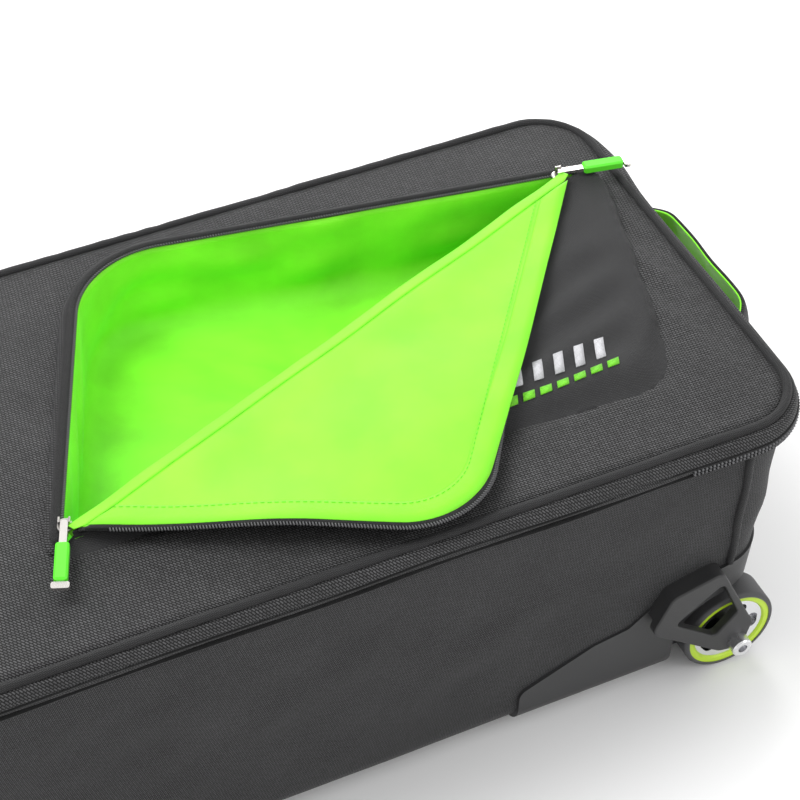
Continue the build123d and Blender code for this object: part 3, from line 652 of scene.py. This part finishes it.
def lid_height(plan):
    """The lid's outer surface: slightly crowned, slack in places, dipping beside its corded edge."""
    x, y = plan[:, 0], plan[:, 1]
    edge = np.minimum(LID[0] - np.abs(x), LID[1] - np.abs(y))
    z = LID_TOP + 0.6 + 2.2 * smooth(edge, 0.0, 90.0)
    z += 1.3 * ripple(x, y, 190.0, 11) * smooth(edge, 0.0, 60.0)
    z += 0.35 * ripple(x, y, 42.0, 12) * smooth(edge, 4.0, 40.0)
    z -= 1.4 * np.exp(-edge / 7.0)
    near_panel = smooth(x, 735.0, 790.0) * hump(y, 10.0, 85.0)
    slack = x + 0.27 * y
    z += near_panel * (1.0 + 2.2 * np.sin((slack - 770.0) * math.tau / 27.0)) * smooth(edge, 0.0, 22.0)
    z -= 1.4 * np.exp(-((edge - 15.0) / 9.0) ** 2) * smooth(x, 700.0, 790.0)
    return np.maximum(z, LID_TOP - 0.2)


def between(start, end, t):
    """Sizes part of the way from start to end."""
    return tuple(a * (1 - t) + b * t for a, b in zip(start, end))


def wall_half(z):
    """The wall's half length, half width and corner radius at a height."""
    return between(WALL_BASE, WALL_TOP, (z - BASE_Z) / (WALL_HIGH - BASE_Z))


def wall_rings(grow, top_z, low_z, out_amount, seed, steps):
    """Rings of a wall from its top down to the base, with the slack of padded cloth between seams."""
    rings = []
    lip_points, _ = rim(LIP)
    for z in np.linspace(top_z, low_z, steps):
        inset = 0.0
        if z < BASE_Z + EDGE_ROUND:
            drop = (BASE_Z + EDGE_ROUND - z) / EDGE_ROUND
            inset = EDGE_ROUND * (1.0 - math.sqrt(max(0.0, 1.0 - drop * drop)))
        points, normals = rim(wall_half(z), grow - inset)
        x, y = points[:, 0], points[:, 1]
        slack = math.sin(math.pi * np.clip((z - SEAM_Z) / (WALL_HIGH - SEAM_Z), 0, 1))
        push = out_amount * slack * (0.55 + 0.45 * ripple(x + 0.6 * y, y + 1.7 * z, 210.0, seed))
        push += 0.35 * out_amount * slack * ripple(x + y, z * 1.4 + y, 60.0, seed + 1)
        corner = np.exp(-np.abs(np.abs(x) - CORNER_X) / 26.0) * (np.abs(y) > 100.0)
        push += 0.45 * corner * math.sin(z * math.tau / 8.5) * slack * np.sign(out_amount)
        held_flat = smooth(np.abs(x), *HELD_X) * (1.0 - smooth(z, *HELD_Z))
        push *= 1.0 - 0.75 * held_flat
        rings.append(np.column_stack([points + normals * push[:, None], np.full(len(x), z)]))
    return rings


def outside_wells(point):
    """False where a wheel's well takes the cloth away."""
    x, y, z = point
    if abs(y) < WELL_IN_Y or x < WHEEL[0] - WELL_R:
        return True
    if z <= WHEEL[2]:
        return False
    return math.hypot(x - WHEEL[0], z - WHEEL[2]) > WELL_R


# ------------ body of the bag


def make_body():
    """The outer walls, the coated cloth of the base, and the lining inside."""
    rings = wall_rings(0.0, WALL_HIGH, SEAM_Z, 3.2, 21, 26)
    walls = cloth("body_walls", rings, 1.8, keep=outside_wells)
    walled = ["front_wall", "back_wall", "wheel_end_wall", "handle_end_wall"]
    finish_piece(walls, "bag_body", "shell_fabric", WALL, walled)

    rings = wall_rings(0.35, SEAM_Z + 3.0, BASE_Z, 0.0, 21, 9)
    for inset in (40.0, 70.0, 100.0, 130.0, 152.0):
        points, _ = rim(WALL_BASE, -inset)
        rings.append(at_height(points, BASE_Z))
    base = cloth("base_cloth", rings, 1.6, keep=outside_wells, cap=True)
    finish_piece(base, "bag_body", "base_fabric", BASE_CLOTH, ["base_panel"])

    rings = wall_rings(-8.2, WALL_HIGH - 1.0, BASE_Z + 9.0, -3.0, 31, 16)
    floor_z = BASE_Z + 8.6
    for inset in (34.0, 60.0, 90.0, 120.0, 150.0):
        points, _ = rim(WALL_BASE, -inset)
        sag = 0.8 + 0.8 * ripple(points[:, 0], points[:, 1], 120.0, 33)
        rings.append(np.column_stack([points, floor_z + sag]))
    lining = cloth("inner_lining", rings, 0.8, 1.0, keep=outside_wells, cap=True)
    finish_piece(lining, "bag_body", "body_lining", LINING_DARK, ["body_lining"])


def make_corner_piping():
    """The piped seam up each corner of the walls."""
    for side in (-1, 1):
        for end in (-1, 1):
            name = f"corner_piping_{'front' if side < 0 else 'back'}_{'wheel' if end > 0 else 'handle'}"
            heights = np.linspace(HELD_Z[0], WALL_HIGH, 24)
            y = (wall_half(heights)[1] + 2.6) * side
            x = CORNER_X * end + 0.5 * np.sin(heights / 9.0)
            cord = tube(name, np.column_stack([x, y, heights]), PIPING_R, 10)
            finish_piece(cord, "bag_body", "shell_fabric", CORD_CLOTH)
            if side < 0 < end:
                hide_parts("corner_piping")


# ------------ main zip, lip and lid


def zip_order(ring):
    """The ring points that carry the zip, in order: all but the hinge side's middle."""
    hinged = (ring[:, 1] < -LIP[1] * 0.9) & (np.abs(ring[:, 0]) < ZIP_START_X)
    return run_of(~hinged)


def make_main_zip():
    """The two coils of the main zip and the tapes that carry them, one of each on the lid."""
    for name, z, body, tape_z in (
        ("lid", ZIP_Z + ZIP_HALF, "lid", ZIP_Z + 2.7),
        ("body", ZIP_Z - ZIP_HALF, "bag_body", ZIP_Z - 3.0),
    ):
        ring = ring_at(LIP, 0.0, z)
        line = resample(ring[zip_order(ring)], LIP_PITCH)
        # the main zip's teeth take COIL_LIT, the coil colour painted lighter as painted light
        zip_teeth(f"{name}_zip_teeth", line, LIP_TOOTH, body, COIL_LIT, f"{name}_zip_coil")
        rows = [ring_at(LIP, 0.4, tape_z), ring_at(LIP, -3.0, tape_z + 0.2), ring_at(LIP, -9.5, tape_z)]
        tape = cloth(f"{name}_zip_cloth", rows, 0.9, 0.0)
        finish_piece(tape, body, "zip_tape", TAPE_CLOTH, [f"{name}_zip_tape"])


# The hinge strip across its width, from the wall up to the lid: (y, z) pairs.
HINGE_PROFILE = (
    (-171.5, 220.4), (-173.8, 221.0), (-175.6, 222.2), (-176.8, 223.6), (-177.2, 225.2),
    (-177.0, 226.8), (-176.2, 228.4), (-175.2, 229.4),
)


def make_hinge_strip():
    """The strip of cloth that the lid turns on, along the -Y side."""
    xs = np.linspace(-ZIP_START_X - 6.0, ZIP_START_X + 6.0, 190)
    wander = 0.6 * ripple(xs, xs * 0, 90.0, 41)
    sag = 1.3 * ripple(xs, xs * 0, 220.0, 42)
    rows = []
    for y, z in HINGE_PROFILE:
        rows.append(np.column_stack([xs, y + wander, z + sag * smooth(z, 219, 223)]))
    strip = cloth("lid_hinge_cloth", rows, 1.0, 0.0, closed=False)
    finish_piece(strip, None, "shell_fabric", WALL)
    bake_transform(strip)


def make_lid():
    """The lid's outer cloth, lining, side band and corded edge, with the stitches along its lip."""
    step = 9.0
    points, _ = rim(LID, -2.2)
    outer = resample(points, step, closed=True)
    hole = outline(POCKET, POCKET_ROUNDS, 7.5, 8.0)
    top = thicken(patch("lid_cloth", outer, lid_height, step, [hole]), 1.4)
    finish_piece(top, "lid", "shell_fabric", SHELL, ["lid_panel"])

    def under(plan):
        return LID_UNDER - 0.6 - 1.2 * (1 + ripple(plan[:, 0], plan[:, 1], 160.0, 14))

    hole = outline(POCKET, POCKET_ROUNDS, 6.0, 10.0)
    liner = thicken(patch("lid_inner_lining", outer, under, 14.0, [hole], flip=True), 0.8)
    finish_piece(liner, "lid", "body_lining", LINING_DARK, ["lid_lining"])

    rows = []
    for t in np.linspace(0, 1, 9):
        bulge = 1.9 * math.sin(math.pi * t)
        grow = (1 - t) * 2.4 + t * (-0.4) + bulge * 0.5
        z = (LID_TOP - 1.6) * (1 - t) + (ZIP_Z + 4.4) * t + bulge
        rows.append(ring_at(between(LID, LIP, t), grow, z, smooth(t)))
    rows.append(ring_at(LIP, -0.9, ZIP_Z + 3.4))
    rows.append(ring_at(LIP, -3.4, ZIP_Z + 3.0))
    band = cloth("lid_side_band", rows[::-1], 1.2)
    finish_piece(band, "lid", "shell_fabric", SHELL, ["lid_band"])

    ring, _ = rim(LID)
    wander = 0.5 * ripple(ring[:, 0], ring[:, 1], 80.0, 51)
    thick = PIPING_R + 0.25 * ripple(ring[:, 0], ring[:, 1], 16.0, 52)
    cord = tube("lid_corded_edge", at_height(ring, LID_TOP - 0.3 + wander), thick, 10, True)
    finish_piece(cord, "lid", "shell_fabric", CORD_CLOTH, ["lid_piping"])

    seam = resample(ring_at(LIP, -1.6, ZIP_Z + 5.6), 5.2, closed=True)
    stitch_row("lip_stitches", seam, (3.0, 0.35, 0.35), "lid", "zip_tape", STITCH)


# ------------ pocket


def panel_skirt(plan):
    """Width of the panel's sloping edge: wide and soft at the front, tight along the right side."""
    return 6.0 + 18.0 * smooth(-plan[:, 1], 55.0, 95.0)


def panel_height(plan):
    """The fixed part of the pocket's panel, rising from the lid to a slightly slack top."""
    edge = outline(POCKET, POCKET_ROUNDS, SKIRT_OUT, 6.0)
    deep = np.where(inside(plan, edge), distance(plan, edge), 0.0)
    base = lid_height(plan) - 0.4
    fold = to_fold(plan)
    rise = smooth(deep / panel_skirt(plan))
    top = PANEL_TOP - 1.0 + 1.0 * ripple(plan[:, 0], plan[:, 1], 110.0, 61)
    creases = 1.7 * np.sin(fold[:, 1] * math.tau / 31.0 + plan[:, 0] / 60.0)
    creases *= hump(fold[:, 1], -105.0, 60.0)
    top = top + creases * smooth(deep, 6.0, 40.0) * smooth(fold[:, 0], 150.0, 300.0)
    return base * (1 - rise) + np.maximum(top, base) * rise


def pocket_line(grow, step=5.0):
    """The open side of the pocket's outline, from A round C to B."""
    loop = outline(POCKET, POCKET_ROUNDS, grow, 2.0)
    line = loop[run_of(to_fold(loop)[:, 1] > 0.0)]
    if to_fold(line[:1])[0, 0] > to_fold(line[-1:])[0, 0]:
        line = line[::-1]
    return resample(line, step)


def strip_rows(profile, count):
    """Rows along the pocket's open side: profile is (offset, height or height function) pairs."""
    rows = []
    for grow, z in profile:
        line = pocket_line(grow, 1.0)
        gaps = np.linspace(0, len(line) - 1, count)
        line = np.stack([np.interp(gaps, np.arange(len(line)), line[:, k]) for k in (0, 1)], -1)
        height = z(line) if callable(z) else np.full(count, z)
        rows.append(np.column_stack([line, height]))
    return rows


# The standing edge of the pocket and its zip tape: (offset from the pocket's outline, height) pairs.
GUSSET_PROFILE = [(8.0, 242.6), (7.0, 245.6), (6.0, 247.4), (4.6, 248.1)]
TAPE_PROFILE = [(9.4, 247.5), (6.5, 248.9), (3.0, 248.6)]


def make_pocket():
    """The panel's fixed part, the standing edge of the open side, its zip, and the lime bag below."""
    edge = outline(POCKET, POCKET_ROUNDS, SKIRT_OUT, 6.0)
    folded = to_fold(edge)
    lower = edge[folded[:, 1] < -1.5]
    start = int(np.argmax(np.linalg.norm(lower - np.roll(lower, 1, 0), axis=1)))
    lower = np.roll(lower, -start, 0)
    ends = to_fold(lower[[0, -1]])[:, 0]
    fold_edge = from_fold(np.column_stack([np.linspace(ends[1], ends[0], 60), np.full(60, -0.4)]))
    area = np.vstack([lower, fold_edge])
    panel = thicken(patch("pocket_front", area, panel_height, 4.0), 1.2)
    finish_piece(panel, "lid", "panel_fabric", PANEL, ["pocket_panel"])

    def at_lid(line):
        return lid_height(line) - 0.4

    def over_lid(line):
        return lid_height(line) + 1.0

    profile = [(13.0, at_lid), (10.0, over_lid), *GUSSET_PROFILE]
    gusset = cloth("pocket_side_cloth", strip_rows(profile, 120), 1.0, closed=False)
    finish_piece(gusset, "lid", "shell_fabric", SHELL, ["pocket_gusset"])

    tape = cloth("pocket_tape", strip_rows(TAPE_PROFILE, 160), 0.9, 0.0, closed=False)
    finish_piece(tape, "lid", "zip_tape", TAPE_CLOTH, ["pocket_zip_tape"])
    coil = at_height(pocket_line(2.4, POCKET_PITCH), COIL_Z + 0.3)
    zip_teeth("pocket_teeth", coil, POCKET_TOOTH, "lid", COIL, "pocket_zip_coil")

    loop = outline(POCKET, POCKET_ROUNDS, 3.4, 6.0)
    centre = loop.mean(0)
    inward = unit(centre - loop)
    rings = []
    for t in np.linspace(0, 1, 15):
        slack = 1.0 + 4.5 * math.sin(math.pi * t) ** 0.8
        fold = slack * (1 + ripple(loop[:, 0], loop[:, 1] + 130 * t, 60.0, 71)) * 0.5
        corner = BAG_ROUND * (1 - math.sqrt(max(0.0, 1 - smooth(t, 0.72, 1.0) ** 2)))
        z = np.full(len(loop), BAG_HIGH + 0.5 - (BAG_HIGH - BAG_LOW - 3.0) * t)
        ring = loop + inward * (fold + corner)[:, None]
        under_panel = to_fold(ring)[:, 1] < 0.0
        z[under_panel] = np.minimum(z, panel_height(ring) - 3.5)[under_panel]
        rings.append(np.column_stack([ring, z]))
    for share in (0.85, 0.65, 0.45, 0.25, 0.08):
        ground = centre + (ring - centre) * share
        z = BAG_LOW + 3.0 + 1.6 * ripple(ground[:, 0], ground[:, 1], 55.0, 73)
        rings.append(np.column_stack([ground, z]))
    bag = cloth("pocket_lining", rings, 0.7, cap=True)
    finish_piece(bag, "lid", "lime_lining", LIME_CLOTH, ["pocket_bag"])


# ------------ flap, folded open


def flap_height(fold):
    """Height of the open flap's middle surface over fold coordinates, with q negative when open."""
    plan = from_fold(fold)
    s, q = fold[:, 0], -fold[:, 1]
    rest = np.maximum(panel_height(plan), lid_height(plan))
    floor = rest + 2.6
    level = FOLD_Z + 2.6 + 1.2 * hump(q, 12.0, 14.0)
    hang = smooth(q, 95.0, 190.0)
    z = level * (1 - hang) + np.minimum(level, floor + 3.4) * hang
    z += 5.0 * smooth(q, 20.0, 100.0)
    waves = 1.2 * ripple(s, q, 95.0, 81) + 0.9 * np.sin((s * 0.8 + q * 0.35) / 24.0)
    z += waves * smooth(q, 10.0, 60.0)
    return np.maximum(z, floor)


def flap_outline(grow, cut):
    """The flap's edge in fold coordinates, folded open: from near A round C to near B."""
    line = to_fold(pocket_line(grow, 2.0))
    line = line[line[:, 1] > cut]
    return line * (1, -1)


def flap_surface(name, lift, grow, cut=3.0):
    """One of the flap's two cloths, at a lift from its middle and grown or shrunk at its edge."""
    line = resample(flap_outline(grow, cut), 5.0)
    ends = line[[0, -1], 0]
    back = np.column_stack([np.linspace(ends[1], ends[0], 80), np.full(80, -cut)])
    area = np.vstack([line, back[1:-1]])

    def height(fold):
        return flap_height(fold) + lift

    piece = patch(name, area, height, 6.0)
    co = np.zeros(len(piece.data.vertices) * 3)
    piece.data.vertices.foreach_get("co", co)
    co = co.reshape(-1, 3) * 1000.0
    co[:, :2] = from_fold(co[:, :2])
    piece.data.vertices.foreach_set("co", (co * 0.001).ravel())
    piece.data.update()
    return piece


# The flap's hem and zip tape across their width: (offset from its edge, lift) pairs. Along the side
# that ends at B, both are turned by (inwards, downwards): the hem spreads and the tape goes under it.
HEM_PROFILE, HEM_TUCK = [(-21.0, 1.1), (-19.5, 2.0), (-12.0, 2.2), (-5.5, 1.7)], (-4.5, 0.0)
FLAP_TAPE_PROFILE, TAPE_TUCK = [(-8.0, 0.9), (-5.0, 1.2), (-2.2, 1.6)], (6.5, 3.2)


def flap_edge(grow, lift, count=None, step=3.0, cut=6.0, tuck=(0.0, 0.0)):
    """A line along the flap's edge, with a set number of points or evenly spaced by a step."""
    line = flap_outline(grow, cut)
    count = count or int(lengths(line)[-1] / step)
    line = by_count(line, count)
    under = smooth(line[:, 0], 180.0, 320.0)
    if tuck[0]:
        tucked = by_count(flap_outline(grow - tuck[0], cut), count)
        line = line + (tucked - line) * under[:, None]
    return np.column_stack([from_fold(line), flap_height(line) + lift - tuck[1] * under])


def make_flap():
    """The flap's lining, outer cloth, hem, zip and the rolled fold that it turns on."""
    lining = thicken(flap_surface("flap_lining_cloth", 0.9, -5.0), 0.8)
    finish_piece(lining, "pocket_flap", "lime_lining", LIME_CLOTH, ["flap_lining"])
    shell = thicken(flap_surface("flap_outer_cloth", 0.0, -3.0), 1.2)
    finish_piece(shell, "pocket_flap", "panel_fabric", PANEL, ["flap_shell"])

    for name, profile, look, slot, thick, tuck in (
        ("flap_hem", HEM_PROFILE, LIME_CLOTH, "lime_lining", 0.5, HEM_TUCK),
        ("flap_tape", FLAP_TAPE_PROFILE, TAPE_CLOTH, "zip_tape", 0.8, TAPE_TUCK),
    ):
        rows = [flap_edge(grow, lift, 150, tuck=tuck) for grow, lift in profile]
        finish_piece(cloth(name, rows, thick, 0.0, closed=False), "pocket_flap", slot, look)
    coil = flap_edge(-1.6, 1.5, step=POCKET_PITCH, cut=18.0, tuck=TAPE_TUCK)
    zip_teeth("flap_teeth", coil, POCKET_TOOTH, "pocket_flap", COIL, "flap_zip_coil")
    seam = flap_edge(-19.0, 2.35, step=4.2)
    stitch_row("hem_stitches", seam, (2.4, 0.3, 0.3), "pocket_flap", "lime_lining", THREAD_LIME)

    make_fold("fold_lining", 4.2, -5.4, 0.3, LIME_CLOTH, "lime_lining", 20.0, 1.2)
    make_fold("fold_outer", 2.0, -8.0, -3.0, PANEL, "panel_fabric", 14.0, -0.8)


def make_fold(name, radius, back, centre_q, look, slot_name, reach, lift):
    """Cloth rolled over the fold line: it lies on the lid's side below and on the flap's side above."""
    along = np.linspace(6.0, FOLD_LENGTH - 6.0, 120)
    from_ends = np.minimum(along, FOLD_LENGTH - along)
    wander = 1.3 * ripple(along, along * 0, 120.0, 91) * smooth(from_ends, 5.0, 40.0)
    waver = 0.5 * ripple(along, along * 0, 60.0, 92)
    middle_z = FOLD_Z - 0.2
    rows = [(q, middle_z - radius) for q in np.linspace(-reach, centre_q, 5)[:-1]]
    for angle in np.radians(np.linspace(-90, 90, 9)):
        rows.append((centre_q + radius * math.cos(angle), middle_z + radius * math.sin(angle)))
    rows += [(q, None) for q in np.linspace(centre_q, back, 4)[1:]]
    made = []
    for q, z in rows:
        fold = np.column_stack([along, np.maximum(q, -0.4 * from_ends) + wander])
        height = flap_height(fold) + lift if z is None else z + waver
        made.append(np.column_stack([from_fold(fold), height]))
    piece = cloth(name, made, 0.8, 0.0, closed=False)
    finish_piece(piece, None, slot_name, look)
    below, above = ((0.5, 0, (middle_z + side * 2.4) * 0.001) for side in (-1, 1))
    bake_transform(piece)
    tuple(below)
    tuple(above)


# ------------ stripes, handles


def make_stripes():
    """A generic mark of slanted bars over a thinner row, sewn on the panel's right front."""
    def bars(name, start, count, pitch, size, lean, look):
        points, faces = [], []
        for k in range(count):
            for t in (0.0, 0.33, 0.67, 1.0):
                for side in (0, 1):
                    x = start[0] + k * pitch + side * size[0] + lean * t
                    y = start[1] + size[1] * t + 0.06 * (x - start[0])
                    points.append((x, y))
            first = k * 8
            for i in range(3):
                a = first + 2 * i
                faces.append((a, a + 1, a + 3, a + 2))
        plan = np.array(points)
        solid = np.column_stack([plan, panel_height(plan) + 0.9])
        uvs = [plan[v] for face in faces for v in face]
        piece = thicken(make_mesh(name, solid, faces, uvs), 0.9)
        finish_piece(piece, "lid", "panel_fabric", look)

    bars("stripes_white", (648.0, -86.0), 6, 15.5, (7.0, 15.0), 6.0, THREAD_WHITE)
    bars("stripes_lime", (640.0, -98.0), 8, 12.5, (8.5, 5.5), 2.2, THREAD_LIME)


def bow(out, half, count=60):
    """Plan points of a handle's bow in its own tilted plane."""
    corners = np.array([(6.5, -half + 8.0), (out, -50.0), (out, 50.0), (6.5, half - 8.0)])
    line = relax(resample(corners, 1.0), 60)
    return resample(line, (len(line) - 1) / count)


def make_end_handles():
    """The two grab handles: a webbing strap and its lining, tilted up a little."""
    tilt = math.radians(15.0)
    for prefix, end in (("wheel_end", 1), ("handle_end", -1)):
        out_dir = np.array([end * math.cos(tilt), 0, math.sin(tilt)])
        up_dir = np.array([-end * math.sin(tilt), 0, math.cos(tilt)])
        origin = np.array([end * WALL_TOP[0], 0, 204.0])
        inner = (LIME_CLOTH, "lime_lining") if end > 0 else (WEBBING, "webbing")
        for layer, inset, thick, look, slot_name in (
            ("strap", 0.0, 2.0, WEBBING, "webbing"),
            ("lining", 2.1, 1.0, *inner),
        ):
            plan = bow(34.0 - inset, END_HANDLE_Y - inset)
            rows = []
            for across in np.linspace(-WEB_HALF, WEB_HALF, 9):
                curl = 1.4 * (abs(across) / WEB_HALF) ** 3
                curl = curl + 0.5 * ripple(plan[:, 1], plan[:, 0] + across, 40.0, 95)
                place = origin + (plan[:, :1] - curl[:, None]) * out_dir + across * up_dir
                place[:, 1] = plan[:, 1]
                rows.append(place)
            rows = rows if end > 0 else rows[::-1]
            strap = cloth(f"{prefix}_grab_{layer}", rows, thick, closed=False)
            nodes = [f"{prefix}_handle"] if layer == "strap" else []
            if layer == "lining" and end > 0:
                nodes = ["wheel_end_handle_lining"]
            finish_piece(strap, f"{prefix}_handle", slot_name, look, nodes)


def make_side_handles():
    """The carry handle on each long side, hanging flat against the wall."""
    for label, side in (("front", -1), ("back", 1)):
        low, high = span(f"carry_handle_{label}")
        half = high[0] - WEB_HALF
        foot = low[2] + WEB_HALF
        corners = np.array([(-half, high[2]), (-half, foot), (half, foot), (half, high[2])])
        line = resample(relax(resample(corners, 1.0), 260), 3.0)
        forward = heading(line)
        across_dir = np.stack([-forward[:, 1], forward[:, 0]], -1)
        y = (low[1] + high[1]) / 2
        rows = []
        for across in np.linspace(-12.0, 12.0, 7):
            flat = line + across_dir * across
            bow_out = side * (1.2 - 1.6 * (abs(across) / 12.0) ** 2)
            rows.append(np.column_stack([flat[:, 0], np.full(len(flat), y + bow_out), flat[:, 1]]))
        rows = rows if side < 0 else rows[::-1]
        strap = cloth(f"carry_strap_{label}", rows, 2.2, 0.0, closed=False)
        finish_piece(strap, f"carry_handle_{label}", "webbing", WEBBING, [f"carry_handle_{label}"])


def make_patches():
    """Sewn patches over the handles' ends."""
    for side, view in ((-1, "f"), (1, "b")):
        for x, hand in ((-SIDE_HANDLE_X, "l"), (SIDE_HANDLE_X, "r")):
            place_patch(f"handle_patch_{view}_{hand}", (x, side, 0), view + hand == "fl")
    for end, view in ((-1, "h"), (1, "w")):
        for y, hand in ((-END_HANDLE_Y, "f"), (END_HANDLE_Y, "b")):
            place_patch(f"handle_patch_{view}_{hand}", (0, y, end), False)


def place_patch(name, where, carries_node):
    """A patch of doubled cloth on a long wall (where[1] is its side) or an end wall (where[2])."""
    across = np.linspace(-1, 1, 7)
    half = (PATCH_HIGH - PATCH_LOW) / 2
    rows = []
    for z in np.linspace(PATCH_LOW, PATCH_HIGH, 6):
        lift = 3.4 - 0.8 * (abs(z - PATCH_LOW - half) / half) ** 3
        if where[2] == 0:
            y = where[1] * (wall_half(z)[1] + lift)
            rows.append(np.column_stack([where[0] + across * 16.5, np.full(7, y), np.full(7, z)]))
        else:
            x = where[2] * (wall_half(z)[0] + lift)
            rows.append(np.column_stack([np.full(7, x), where[1] + across * 11.0, np.full(7, z)]))
    flip = (where[2] == 0 and where[1] > 0) or where[2] < 0
    patch_piece = cloth(name, rows[::-1] if flip else rows, 3.0, closed=False)
    nodes = ["handle_patches"] if carries_node else []
    finish_piece(patch_piece, "bag_body", "shell_fabric", CORD_CLOTH, nodes)


# ------------ stage


# The camera, in metres and degrees.
VIEW_TARGET, VIEW_FAR = (0.6569, 0.0725, 0.1), 1.6312
VIEW_AZIMUTH, VIEW_ELEVATION = -24.77, 44.79
LENS = 101.25

# The studio, in metres and watts.
FLOOR_HALF = 30.0
LAMP_TARGET = Vector((0.6, 0.0, 0.2))
LAMPS = {
    "key": ((-0.6, 0.6, 2.6), 62.0, 1.6),
    "fill": ((2.6, -1.8, 1.8), 22.0, 1.8),
    "rim": ((1.6, 2.4, 1.6), 26.0, 1.2),
}


def make_stage():
    """A pale floor, soft studio light, and the camera."""
    half = FLOOR_HALF
    corners = [(-half, -half, 0), (half, -half, 0), (half, half, 0), (-half, half, 0)]
    mesh = bpy.data.meshes.new("studio_floor")
    mesh.from_pydata(corners, [], [(0, 1, 2, 3)])
    floor = add_to_scene("studio_floor", mesh)
    material, _, shader = new_material("pale floor")
    fill(shader, Base_Color=(0.93, 0.93, 0.93, 1.0), Roughness=0.9)
    mesh.materials.append(material)

    world = bpy.data.worlds.new("studio")
    bpy.context.scene.world = world
    world.use_nodes = True
    fill(world.node_tree.nodes["Background"], Color=(1.0, 1.0, 1.0, 1.0), Strength=0.8)

    for name, (place, power, wide) in LAMPS.items():
        lamp = bpy.data.lights.new(name, "AREA")
        lamp.energy = power
        lamp.size = wide
        light = add_to_scene(name, lamp)
        light.location = place
        light.rotation_euler = (LAMP_TARGET - Vector(place)).to_track_quat("-Z", "Y").to_euler()

    camera = bpy.data.cameras.new("camera")
    camera.lens = LENS
    camera.sensor_width = 36.0
    camera.clip_end = 60.0
    view = add_to_scene("camera", camera)
    azimuth, elevation = math.radians(VIEW_AZIMUTH), math.radians(VIEW_ELEVATION)
    level = math.cos(elevation)
    forward = Vector((-math.sin(azimuth) * level, math.cos(azimuth) * level, -math.sin(elevation)))
    view.location = Vector(VIEW_TARGET) - forward * VIEW_FAR
    view.rotation_euler = forward.to_track_quat("-Z", "Y").to_euler()
    bpy.context.scene.camera = view
    bpy.context.scene.view_settings.view_transform = "Standard"


make_body()
make_corner_piping()
make_main_zip()
make_hinge_strip()
make_lid()
make_pocket()
make_flap()
make_stripes()
make_end_handles()
make_side_handles()
make_patches()
make_stage()
